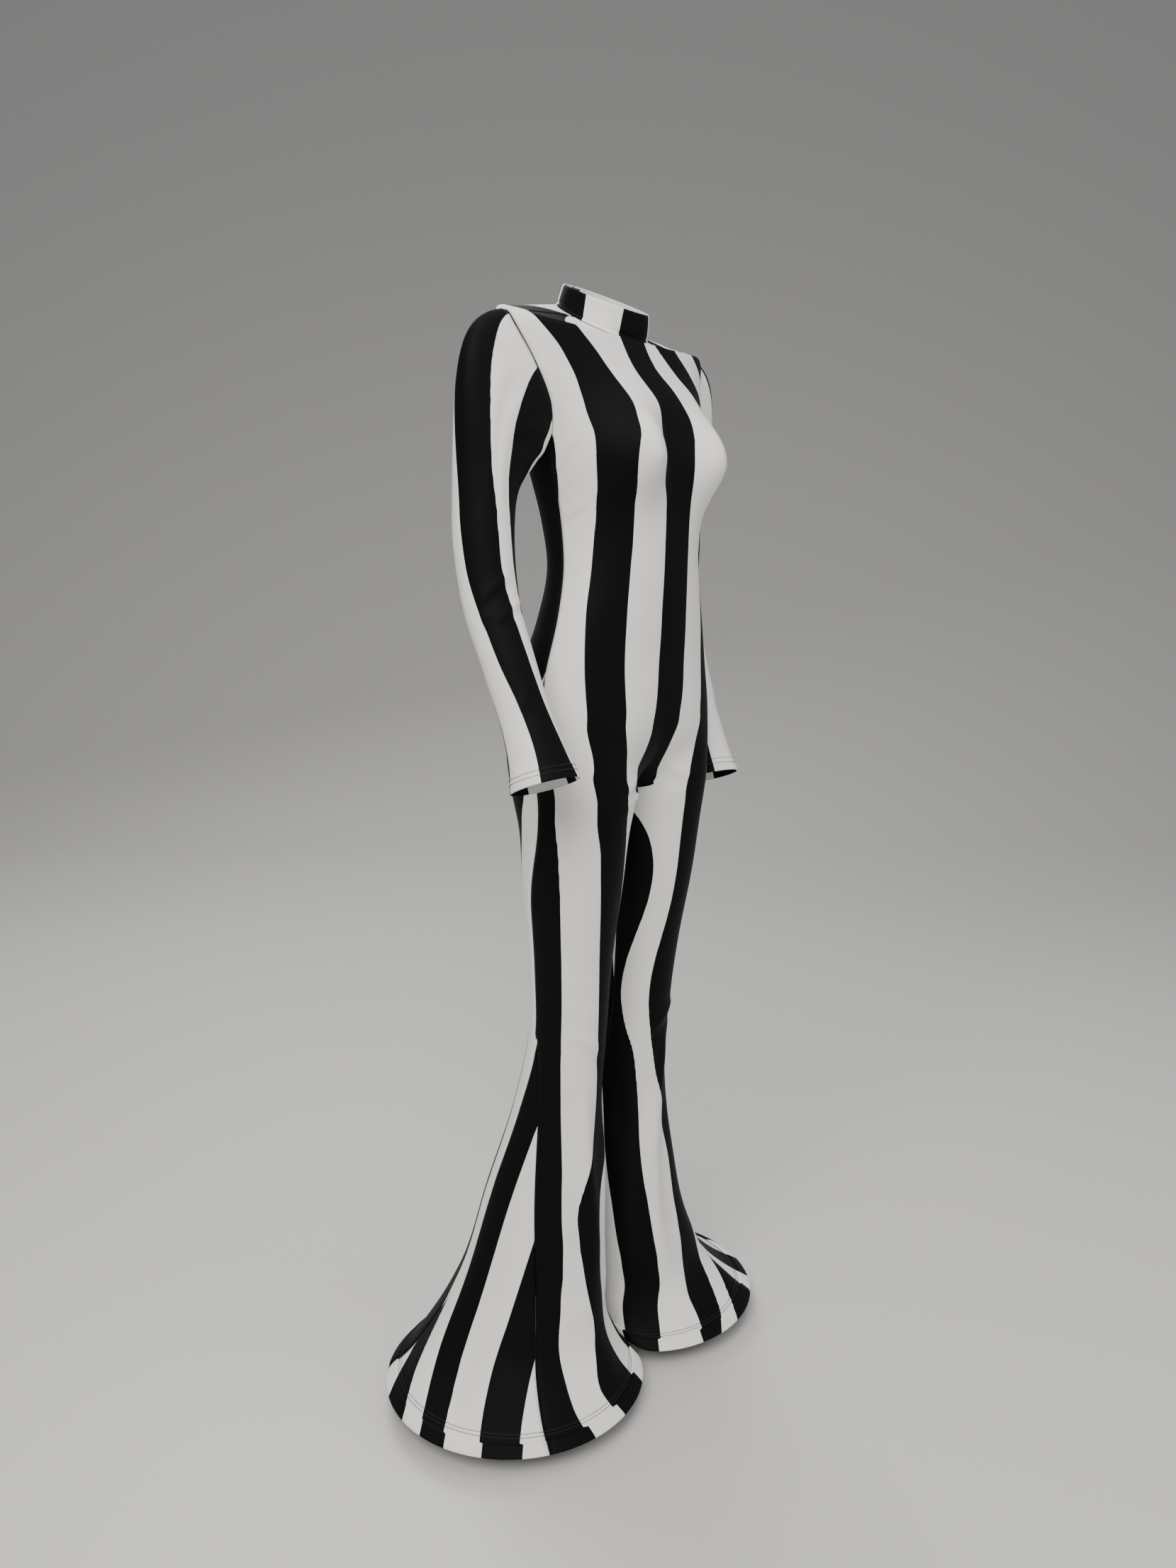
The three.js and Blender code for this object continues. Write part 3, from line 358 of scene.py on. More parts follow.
class StripeLayout:
    """Where the stripe edges fall on the cut panels.

    A phase counts stripes across the cloth: it is black where its whole part is even.
    """

    # run up the side, then edges of the middle black, white and next black stripe from the
    # centre front: three towards the wearer's right and three towards the left
    FRONT = (
        (100, 30, 83, 141, 27, 82, 138),
        (152, 24, 84, 142, 35, 92, 147),
        (210, 20, 83, 140, 38, 94, 150),
        (250, 20, 81, 137, 37, 94, 149),
        (310, 19, 76, 128, 36, 92, 147),
        (345, 18, 73, 125, 37, 93, 148),
        (375, 17, 75, 125, 36, 92, 147),
        (400, 18, 83, 133, 34, 90, 145),
        (450, 44, 112, 166, 37, 93, 149),
        (485, 22, 98, 158, 41, 97, 152),
        (525, 16, 78, 143, 39, 95, 150),
        (560, 30, 83, 142, 30, 84, 139),
        (587, 40, 95, 152, 11, 55, 108),
        (618, 47, 118, 177, 3, 28, 78),
        (668, 46, 126, 189, 4, 30, 85),
        (712, 44, 118, 184, 10, 50, 105),
        (758, 42, 105, 170, 14, 66, 128),
    )
    # run, then places either side of the leg's front line, outwards: ends of the outer black,
    # white, next black and next white stripe
    RIGHT_LEG = (
        (120, 71, 16, -41, -98),
        (86, 73, 18, -39, -90),
        (67, 78, 23, -33, -76),
        (48, 87, 32, -22, -60),
        (33, 96, 41, -13, -45),
        (16, 99, 44, -8, -34),
        (2, 99, 43, -8, -60),
        (-6, 98, 42, -9, -150),
        (-30, 94, 38, -14, -128),
        (-64, 86, 29, -24, -88),
        (-103, 80, 24, -30, -84),
        (-184, 69, 14, -40, -95),
        (-268, 60, 5, -50, -104),
        (-355, 56, 0, -56, -110),
        (-440, 51, -7, -62, -113),
        (-483, 49, -5, -60, -112),
        (-526, 48, 5, -50, -108),
        (-564, 48, 15, -40, -100),
        (-600, 47, 23, -34, -95),
        (-640, 44, 17, -36, -94),
        (-680, 45, 9, -42, -96),
        (-722, 49, 0, -48, -100),
        (-765, 51, -11, -53, -105),
        (-797, 48, -8, -60, -112),
        (-825, 47, -1, -78, -128),
        (-855, 43, -16, -92, -150),
    )
    LEFT_LEG = (
        (116, 68, 13, -42, -97),
        (75, 72, 17, -38, -95),
        (55, 79, 25, -30, -87),
        (35, 84, 30, -25, -79),
        (14, 86, 31, -24, -74),
        (4, 87, 32, -23, -84),
        (-4, 87, 32, -23, -150),
        (-20, 88, 33, -22, -118),
        (-40, 89, 34, -21, -91),
        (-60, 90, 35, -20, -74),
        (-94, 91, 36, -19, -59),
        (-136, 92, 37, -18, -53),
        (-179, 92, 37, -18, -55),
        (-221, 88, 33, -22, -62),
        (-265, 82, 27, -28, -70),
        (-309, 79, 24, -30, -72),
        (-355, 84, 29, -25, -62),
        (-401, 94, 39, -15, -45),
        (-450, 107, 52, -3, -38),
        (-502, 121, 66, 11, -36),
        (-552, 131, 76, 21, -38),
        (-602, 134, 79, 26, -39),
        (-650, 132, 78, 26, -38),
        (-700, 127, 74, 25, -41),
        (-743, 115, 65, 14, -47),
        (-783, 92, 49, -6, -58),
        (-807, 76, 41, -24, -79),
        (-835, 50, 15, -39, -106),
        (-855, 22, -22, -56, -130),
    )
    # run, then the back cloth's coordinate at the side line and at the middle or inseam
    BACK = (
        (-855, 130, -10),
        (-338, 172, -20),
        (-245, 176, -35),
        (-125, 182, -60),
        (-70, 178, -55),
        (-25, 162, -20),
        (0, 152, 0),
        (51, 150, 0),
        (106, 145, 0),
        (177, 137, 0),
        (245, 132, 0),
        (311, 126, 0),
        (371, 128, 0),
        (441, 132, 0),
        (497, 137, 0),
        (570, 150, 0),
        (626, 165, 0),
        (668, 140, 0),
        (712, 110, 0),
        (758, 80, 0),
    )
    # slanted coordinate on a flare wedge at which its stripes change, black first
    WEDGE_EDGES = (-250.0, -198.0, -146.0, -94.5, -43.0, -4.0, 34.0, 88.0, 140.0, 195.0)
    WEDGE_FIRST = -2.0
    WEDGE_SLANT = math.radians(19)
    # share of the sleeve, then places round the armhole loop: inner edge of the front white
    # stripe, inner edge of the outer black stripe and its back edge
    SLEEVE = (
        (0.0, 0.291, 0.478, 0.66),
        (0.06, 0.268, 0.417, 0.61),
        (0.11, 0.258, 0.386, 0.575),
        (0.15, 0.254, 0.366, 0.555),
        (0.20, 0.243, 0.350, 0.537),
        (0.27, 0.238, 0.333, 0.524),
        (0.33, 0.225, 0.308, 0.510),
        (0.39, 0.205, 0.294, 0.500),
        (0.46, 0.190, 0.288, 0.490),
        (0.53, 0.170, 0.272, 0.470),
        (0.61, 0.150, 0.262, 0.455),
        (0.69, 0.120, 0.252, 0.443),
        (0.81, 0.080, 0.225, 0.402),
        (0.89, 0.060, 0.205, 0.389),
        (1.0, 0.060, 0.200, 0.398),
    )
    FAR_TURN = 0.17  # how far round the left sleeve's print has twisted at its cuff
    COLLAR_EDGES = (-0.15, 0.15, 0.43, 0.71, 0.99)

    def __init__(self, body: Body) -> None:
        self.body = body
        front, back = np.asarray(self.FRONT, float), np.asarray(self.BACK, float)
        self.front = Profile(front[:, 0], front[:, 1:])
        self.back = Profile(back[:, 0], back[:, 1:])
        legs = {-1: np.asarray(self.RIGHT_LEG, float), 1: np.asarray(self.LEFT_LEG, float)}
        self.legs = {side: Profile(-table[:, 0], table[:, 1:]) for side, table in legs.items()}
        sleeve = np.asarray(self.SLEEVE, float)
        self.sleeve = Profile(sleeve[:, 0], sleeve[:, 1:])

    @staticmethod
    def climb(value: Array, knots: Sequence[Array], width: Array) -> Array:
        """Phase that rises by one from each knot to the next, and by one per width past the last."""
        phase = np.maximum(value - knots[-1], 0) / width
        for low, high in zip(knots[:-1], knots[1:]):
            phase = phase + np.clip((value - low) / np.maximum(high - low, 0.02 * width), 0, 1)
        return phase

    def front_phase(self, side: int, run: Array, arc: Array, front_line: Array) -> Array:
        """Phase on the front panel.

        Args:
            side: 1 for the wearer's left half, -1 for the right.
            run: Run of each row, as a column.
            arc: Length round from the centre front or the inseam.
            front_line: Length round to a quarter of the girth, as a column.
        """
        edges = self.front.at(np.maximum(run, 100))
        right, left = np.moveaxis(edges[..., :3], -1, 0), np.moveaxis(edges[..., 3:], -1, 0)
        onto_leg = 1 - smoothstep(run, 92, 128)
        inner = {}
        for which, middle in ((-1, right), (1, left)):
            leg = front_line + np.moveaxis(self.legs[which].at(-run), -1, 0)[::-1]
            inner[which] = [mix(a, b, onto_leg) for a, b in zip([*middle, middle[2] + STRIPE], leg)]
        *knots, last = inner[side]
        first = mix(-inner[-side][0], knots[0] - STRIPE, smoothstep(-run, 0, 25))
        phase = self.climb(arc, [first, *knots, last], mix(STRIPE, 1.6 * STRIPE, onto_leg))
        phase = phase - np.maximum(first - arc, 0) / STRIPE
        return phase if side > 0 else 1 - phase

    def back_phase(self, run: Array, share: Array) -> Array:
        """Phase on a back panel: the cloth's coordinate goes evenly from the side to the middle."""
        side_value, middle = np.moveaxis(self.back.at(run), -1, 0)
        start = np.where(run < 0, self.body.side_seam(run) + self.body.godet_share(run), 0.5)
        across = mix(side_value, middle, (share - start) / (1 - start))
        return (across + STRIPE / 2) / STRIPE

    def wedge_phase(self, arc: Array, down: Array) -> Array:
        """Phase on a flare wedge, whose stripes slant back as they go down.

        The slanted coordinate is the arc times the slant's cosine less the drop times its sine.
        """
        slanted = arc * math.cos(self.WEDGE_SLANT) - down * math.sin(self.WEDGE_SLANT)
        return self.WEDGE_FIRST + np.interp(slanted, self.WEDGE_EDGES, np.arange(len(self.WEDGE_EDGES)))

    def sleeve_phase(self, side: int, loop: Array, share: Array) -> Array:
        """Phase on a sleeve: the outer black stripe lies between the second and third edges."""
        inner, front, back = np.moveaxis(self.sleeve.at(share), -1, 0)
        turned = self.FAR_TURN * smoothstep(share, 0.45, 0.9) if side > 0 else 0.0
        inner, front, back = inner + 0.4 * turned, front + turned, back + turned
        width = 0.2
        knots = [inner - width, inner, front, back, back + width]
        return self.climb(loop, knots, width) - 2 - np.maximum(inner - width - loop, 0) / width

    def collar_phase(self, share: Array) -> Array:
        """Phase on the collar: black in the middle, then blocks of 0.28 of a half girth."""
        return np.interp(np.abs(share), self.COLLAR_EDGES, np.arange(len(self.COLLAR_EDGES)))


# ---------------------------------------------------------------- drape

@dataclass(frozen=True)
class Fold:
    """A soft ridge in the cloth with a hollow beside it, along a straight line on a chart."""

    start: tuple[float, float]
    end: tuple[float, float]
    width: float
    height: float

    def offset(self, across: Array, along: Array) -> Array:
        """Height of the cloth: a bell curve less a wider one beside it, faded at both ends."""
        a, b = np.asarray(self.start, float), np.asarray(self.end, float)
        length = float(np.hypot(*(b - a)))
        ux, uy = (b - a) / length
        t = ((across - a[0]) * ux + (along - a[1]) * uy) / length
        off = (across - a[0]) * -uy + (along - a[1]) * ux
        ends = smoothstep(t, -0.12, 0.22) * smoothstep(1.12 - t, 0, 0.34)
        ridge = gaussian(off, self.width) - 0.55 * gaussian(off - 1.9 * self.width, 1.3 * self.width)
        return self.height * ridge * ends


class BodyDrape:
    """How far the worn cloth stands off the smooth body, shared by the panels that meet."""

    # charts are (share of half girth times 400, run)
    RIGHT = (
        Fold((196, 372), (150, 392), 5, 1.1),
        Fold((198, 430), (160, 470), 5, 1.3),
        Fold((196, 470), (168, 512), 4, 1.4),
        Fold((192, 300), (150, 322), 6, 0.9),
        Fold((110, 8), (28, 40), 7, 1.5),
        Fold((90, -6), (14, 16), 6, 1.6),
        Fold((150, -330), (70, -372), 9, 1.4),
        Fold((120, -420), (84, -700), 11, 4.5),
        Fold((62, -470), (48, -760), 12, 4.0),
        Fold((168, -420), (150, -640), 10, 2.0),
    )
    LEFT = (
        Fold((196, 372), (150, 392), 5, 1.1),
        Fold((198, 440), (160, 476), 5, 1.3),
        Fold((110, 8), (28, 40), 7, 1.5),
        Fold((384, -20), (300, -30), 4, 1.4),
        Fold((388, -34), (310, -46), 4, 1.2),
        Fold((150, -330), (70, -372), 9, 1.6),
        Fold((118, -390), (100, -560), 10, 3.6),
        Fold((92, -470), (74, -760), 12, 4.5),
        Fold((54, -440), (46, -740), 11, 3.5),
    )
    FOLD_SCALE = 1.35
    FLUTES = 6
    FLUTE_DEPTH = 3.2

    def __init__(self, body: Body) -> None:
        self.body = body

    def offset(self, side: int, share: Array, run: Array) -> Array:
        """Distance outwards: the folds, and flutes round the bell that grow towards the rim."""
        total = np.zeros(np.broadcast(share, run).shape)
        for fold in self.LEFT if side > 0 else self.RIGHT:
            total = total + self.FOLD_SCALE * fold.offset(share * 400, run)
        drop = self.body.bell_drop(run)
        turn = 2 * np.pi * share
        flutes = np.sin(self.FLUTES * turn + 0.8 * side) + 0.5 * np.sin((self.FLUTES + 3) * turn + 2.1)
        calm = 1 - smoothstep(drop, 0.93, 1.0)
        return total * (1 - smoothstep(drop, 0.9, 0.99)) + self.FLUTE_DEPTH * flutes * drop**1.6 * calm


SLEEVE_FOLDS = (
    Fold((66, 40), (72, 190), 7, 2.2),
    Fold((86, 30), (82, 170), 6, 1.8),
    Fold((20, 12), (60, 96), 6, 2.4),
    Fold((4, 30), (44, 120), 6, 1.8),
    Fold((60, 262), (110, 300), 7, 1.6),
    Fold((40, 300), (92, 336), 7, 1.8),
    Fold((100, 318), (140, 350), 8, 1.2),
    Fold((150, 60), (170, 200), 10, 1.2),
    Fold((70, 430), (110, 470), 8, 1.0),
)


# ---------------------------------------------------------------- mesh making


def to_frame(points: Array) -> Array:
    """Millimetres above the floor to the frame's metres."""
    return (points - np.array([0.0, 0.0, ORIGIN_HEIGHT])) * 0.001


def grid_quads(rows: int, columns: int, closed: bool = False, first: int = 0) -> Array:
    """Quads of a grid of points numbered row by row; closed joins the last column to the first."""
    index = np.arange(rows * columns).reshape(rows, columns) + first
    if closed:
        index = np.concatenate([index, index[:, :1]], 1)
    corners = [index[:-1, :-1], index[:-1, 1:], index[1:, 1:], index[1:, :-1]]
    return np.stack(corners, -1).reshape(-1, 4)


def lengths_across(points: Array) -> Array:
    """Length walked along each row of a grid of points, from its first point."""
    steps = np.linalg.norm(np.diff(points, axis=1), axis=-1)
    return np.concatenate([np.zeros((len(points), 1)), np.cumsum(steps, 1)], 1)


def grid_normals(points: Array, closed: bool = False) -> Array:
    """Normals of a grid from central differences along its rows and columns."""
    if closed:
        around = np.roll(points, -1, 1) - np.roll(points, 1, 1)
    else:
        around = np.gradient(points, axis=1)
    return unit(np.cross(around, np.gradient(points, axis=0)))


@dataclass
class Sheet:
    """One face of a piece of cloth: points, outward normals, cloth coordinates and quads."""

    points: Array
    normals: Array
    stripe: Array  # phase of the stripes
    grain: Array  # millimetres across and along the cloth
    quads: Array

    def faced(self) -> "Sheet":
        """The same sheet with its quads seen anticlockwise from outside."""
        a, b, c = (self.points[self.quads[:, k]] for k in range(3))
        outward = (np.cross(b - a, c - a) * self.normals[self.quads[:, 0]]).sum()
        if outward < 0:
            self.quads = self.quads[:, ::-1]
        return self

    def shell(self, name: str, outer: float, inner: float) -> bpy.types.Object:
        """A closed shell between two distances along the normals.

        Args:
            name: Name of the new piece.
            outer: Distance of the outer face, outwards.
            inner: Distance of the inner face, outwards, less than outer.

        Returns:
            The object, with the maps "stripes" and "grain".
        """
        sheet = self.faced()
        count = len(sheet.points)
        vertices = np.concatenate([sheet.points + outer * sheet.normals, sheet.points + inner * sheet.normals])
        start, end = sheet.quads, np.roll(sheet.quads, -1, 1)
        forward = (start * count + end).ravel()
        backward = (end * count + start).ravel()
        open_edge = ~np.isin(forward, backward)
        s, e = start.ravel()[open_edge], end.ravel()[open_edge]
        walls = np.stack([s, s + count, e + count, e], -1)
        quads = np.concatenate([sheet.quads, sheet.quads[:, ::-1] + count, walls])
        stripes = np.tile(np.stack([sheet.stripe / 2, sheet.grain[:, 1] * 0.001], -1), (2, 1))
        grain = np.tile(sheet.grain * 0.001, (2, 1))
        return new_mesh(name, to_frame(vertices), quads, {"stripes": stripes, "grain": grain})


def new_mesh(
    name: str, points: Array, faces: Array, maps: Optional[dict[str, Array]] = None
) -> bpy.types.Object:
    """Makes a smooth mesh object at the origin.

    Args:
        name: Name of the object and its mesh.
        points: Places in the frame's metres.
        faces: Vertex numbers, one row for each face.
        maps: Values per vertex for each UV map.

    Returns:
        The object, linked to the scene.
    """
    mesh = bpy.data.meshes.new(name)
    sides = faces.shape[1]
    mesh.vertices.add(len(points))
    mesh.vertices.foreach_set("co", np.ascontiguousarray(points, np.float32).ravel())
    mesh.loops.add(faces.size)
    mesh.loops.foreach_set("vertex_index", np.ascontiguousarray(faces, np.int32).ravel())
    mesh.polygons.add(len(faces))
    mesh.polygons.foreach_set("loop_start", np.arange(0, faces.size, sides, dtype=np.int32))
    mesh.polygons.foreach_set("loop_total", np.full(len(faces), sides, np.int32))
    for key, values in (maps or {}).items():
        layer = mesh.uv_layers.new(name=key)
        layer.data.foreach_set("uv", values[faces.ravel()].astype(np.float32).ravel())
    mesh.update(calc_edges=True)
    mesh.polygons.foreach_set("use_smooth", np.ones(len(faces), bool))
    piece = bpy.data.objects.new(name, mesh)
    bpy.context.scene.collection.objects.link(piece)
    return piece


# ---------------------------------------------------------------- finishes

Number = Union[float, "Value"]


class Value:
    """A number that varies over a surface, written as an expression that adds Math nodes."""

    def __init__(self, material: "Material", socket: bpy.types.NodeSocket) -> None:
        self.material = material
        self.socket = socket

    def _math(self, operation: str, *values: Number) -> "Value":
        return self.material.node("ShaderNodeMath", {"operation": operation}, dict(enumerate(values)))[0]

    def __add__(self, other: Number) -> "Value":
        return self._math("ADD", self, other)

    __radd__ = __add__

    def __sub__(self, other: Number) -> "Value":
        return self._math("SUBTRACT", self, other)

    def __rsub__(self, other: Number) -> "Value":
        return self._math("SUBTRACT", other, self)

    def __mul__(self, other: Number) -> "Value":
        return self._math("MULTIPLY", self, other)

    __rmul__ = __mul__

    def sine(self) -> "Value":
        """Sine of the value in radians."""
        return self._math("SINE", self)

    def fraction(self) -> "Value":
        """The part after the whole number."""
        return self._math("FRACT", self)

    def size(self) -> "Value":
        """The value without its sign."""
        return self._math("ABSOLUTE", self)

    def clamped(self) -> "Value":
        """The value kept from 0 to 1."""
        return self._math("MINIMUM", self._math("MAXIMUM", self, 0.0), 1.0)


class Material:
    """A node material with one principled shader."""

    def __init__(self, name: str) -> None:
        self.data = bpy.data.materials.new(name)
        self.data.use_nodes = True
        self.nodes = self.data.node_tree.nodes
        self.links = self.data.node_tree.links
        self.shader = next(n for n in self.nodes if n.type == "BSDF_PRINCIPLED")

    def node(self, kind: str, settings: dict[str, object], inputs: dict[Union[int, str], object]) -> list[Value]:
        """Adds a node and returns its outputs.

        Args:
            kind: The node's type.
            settings: Properties that are set first.
            inputs: Values or links by socket number or name.
        """
        node = self.nodes.new(kind)
        for key, value in settings.items():
            setattr(node, key, value)
        for key, value in inputs.items():
            self.feed(node.inputs[key], value)
        return [Value(self, socket) for socket in node.outputs]

    def feed(self, socket: bpy.types.NodeSocket, value: object) -> None:
        """Links a varying value to a socket, or sets a plain one."""
        if isinstance(value, Value):
            self.links.new(value.socket, socket)
        else:
            socket.default_value = value

    def set(self, **sockets: object) -> None:
        """Sets or links the shader's sockets, with _ for a space in a name."""
        for key, value in sockets.items():
            self.feed(self.shader.inputs[key.replace("_", " ")], value)

    def map(self, name: str) -> tuple[Value, Value, Value]:
        """A UV map's vector and its two numbers."""
        vector = self.node("ShaderNodeUVMap", {"uv_map": name}, {})[0]
        across, along, _ = self.node("ShaderNodeSeparateXYZ", {}, {0: vector})
        return vector, across, along

    def object_place(self) -> Value:
        """Object coordinates."""
        return self.node("ShaderNodeTexCoord", {}, {})[3]

    def noise(self, place: Value, scale: float, detail: float = 2.0) -> Value:
        """Noise from 0 to 1, with a scale in cycles per metre."""
        return self.node("ShaderNodeTexNoise", {}, {"Vector": place, "Scale": scale, "Detail": detail})[0]

    def blend(self, low: object, high: object, share: Number) -> Value:
        """Colour between two colours."""
        mixed = self.node("ShaderNodeMix", {"data_type": "RGBA"}, {0: share, 6: low, 7: high})
        return mixed[2]

    def bump(self, height: Value, distance: float, strength: float = 1.0) -> Value:
        """Normal from a height."""
        inputs = {"Height": height, "Distance": distance, "Strength": strength}
        return self.node("ShaderNodeBump", {}, inputs)[0]


Colour = tuple[float, float, float, float]


@dataclass(frozen=True)
class Jersey:
    """Printed stretch jersey: satin white with deep black stripes and a fine knit."""

    name: str = "striped_jersey"
    white: Colour = (0.83, 0.815, 0.775, 1.0)
    white_shade: Colour = (0.76, 0.745, 0.71, 1.0)
    black: Colour = (0.0012, 0.0012, 0.0016, 1.0)
    black_worn: Colour = (0.004, 0.004, 0.005, 1.0)
    edge: float = 0.006  # softness of a stripe's edge, as a share of two stripes
    rib: float = 0.0011  # width of a knitted wale
    striped: bool = True

    def make(self) -> bpy.types.Material:
        """Builds the node material."""
        material = Material(self.name)
        _, across, _ = material.map("stripes")
        place, rib_across, rib_along = material.map("grain")
        fibre = material.noise(place, 900.0, 3.0)
        mottle = material.noise(place, 42.0, 4.0)
        wander = (material.noise(place, 260.0) - 0.5) * 0.004
        white = material.blend(self.white_shade, self.white, (mottle * 0.7 + fibre * 0.5).clamped())
        black = material.blend(self.black, self.black_worn, (fibre * 0.8 + mottle * 0.3).clamped())
        wales = (rib_across * (2 * math.pi / self.rib)).sine() * 0.5
        courses = (rib_along * (2 * math.pi / (1.25 * self.rib))).sine() * 0.25
        knit = wales + courses + fibre * 1.6
        if self.striped:
            triangle = ((across + wander + 0.75).fraction() - 0.5).size() - 0.25
            ink = (triangle * (1 / self.edge) + 0.5).clamped()
            material.set(Base_Color=material.blend(white, black, ink))
            material.set(Roughness=0.5 + ink * 0.1 + (fibre - 0.5) * 0.08)
        else:
            material.set(Base_Color=white, Roughness=0.6 + (fibre - 0.5) * 0.08)
        material.set(Normal=material.bump(knit, 0.00009, 0.55))
        material.set(Sheen_Weight=0.015, Sheen_Roughness=0.4, Specular_IOR_Level=0.07)
        return material.data


@dataclass(frozen=True)
class Woven:
    """A plain woven cloth, such as zip tape or stiff braid."""

    name: str
    thread: Colour
    # darker copy of the thread colour painted into the hollows between threads: painted shade
    gap: Colour
    pitch: float
    roughness: float = 0.62

    def make(self) -> bpy.types.Material:
        """Builds the node material: warp and weft as crossed sine ridges, with painted shade in the hollows
        between them.
        """
        material = Material(self.name)
        place, across, along = material.map("grain")
        warp = (across * (2 * math.pi / self.pitch)).sine()
        weft = (along * (2 * math.pi / self.pitch)).sine()
        relief = (warp * weft) * 0.5 + 0.5
        fuzz = material.noise(place, 1400.0)
        # painted shade: the colour falls to the gap colour where the weave's relief is low, mixed with random
        # fuzz
        material.set(Base_Color=material.blend(self.gap, self.thread, (relief * 0.7 + fuzz * 0.4).clamped()))
        material.set(Roughness=self.roughness + (fuzz - 0.5) * 0.15)
        material.set(Normal=material.bump(relief + fuzz * 0.4, 0.0001, 0.7))
        material.set(Sheen_Weight=0.1, Specular_IOR_Level=0.3)
        return material.data


@dataclass(frozen=True)
class Thread:
    """Twisted polyester sewing thread."""

    name: str = "sewing_thread"
    light: Colour = (0.014, 0.014, 0.016, 1.0)
    dark: Colour = (0.006, 0.006, 0.008, 1.0)

    def make(self) -> bpy.types.Material:
        """Builds the node material: fine streaks of twist."""
        material = Material(self.name)
        place = material.object_place()
        twist = material.noise(place, 2600.0, 3.0)
        material.set(Base_Color=material.blend(self.dark, self.light, twist), Roughness=0.4 + twist * 0.2)
        material.set(Normal=material.bump(twist, 0.00005, 0.5))
        return material.data


@dataclass(frozen=True)
class Enamel:
    """Black enamel on cast zinc, rubbed brighter in a fine mottle."""

    name: str = "black_enamel"
    coat: Colour = (0.012, 0.012, 0.014, 1.0)
    rubbed: Colour = (0.09, 0.088, 0.085, 1.0)
    metallic: float = 0.6

    def make(self) -> bpy.types.Material:
        """Builds the node material."""
        material = Material(self.name)
        place = material.object_place()
        wear = material.noise(place, 420.0, 4.0)
        fine = material.noise(place, 3000.0, 2.0)
        worn = ((wear - 0.55) * 4.0).clamped()
        material.set(Base_Color=material.blend(self.coat, self.rubbed, worn), Metallic=self.metallic)
        material.set(Roughness=0.28 + fine * 0.14 + worn * 0.1)
        material.set(Normal=material.bump(fine, 0.00002, 0.4))
        return material.data


@dataclass(frozen=True)
class Nylon:
    """Black nylon of the zip's coils."""

    name: str = "coil_nylon"

    def make(self) -> bpy.types.Material:
        """Builds the node material."""
        material = Material(self.name)
        haze = material.noise(material.object_place(), 1800.0, 2.0)
        material.set(Base_Color=material.blend((0.008, 0.008, 0.009, 1), (0.03, 0.03, 0.032, 1), haze))
        material.set(Roughness=0.3 + haze * 0.15)
        return material.data


@dataclass(frozen=True)
class Backdrop:
    """Plain pale floor."""

    name: str = "pale_floor"
    colour: Colour = (0.62, 0.61, 0.595, 1.0)

    def make(self) -> bpy.types.Material:
        """Builds the material."""
        material = Material(self.name)
        material.set(Base_Color=self.colour, Roughness=0.45)
        return material.data


# ---------------------------------------------------------------- pieces


def settle(piece: bpy.types.Object, nodes: Sequence[str], material: bpy.types.Material) -> None:
    """Dresses a piece, rides it on the suit and hides the nodes it stands for."""
    piece.data.materials.append(material)
    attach(piece, SUIT)
    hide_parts(*nodes)
    LOG.info("%s: %d faces", piece.name, len(piece.data.polygons))


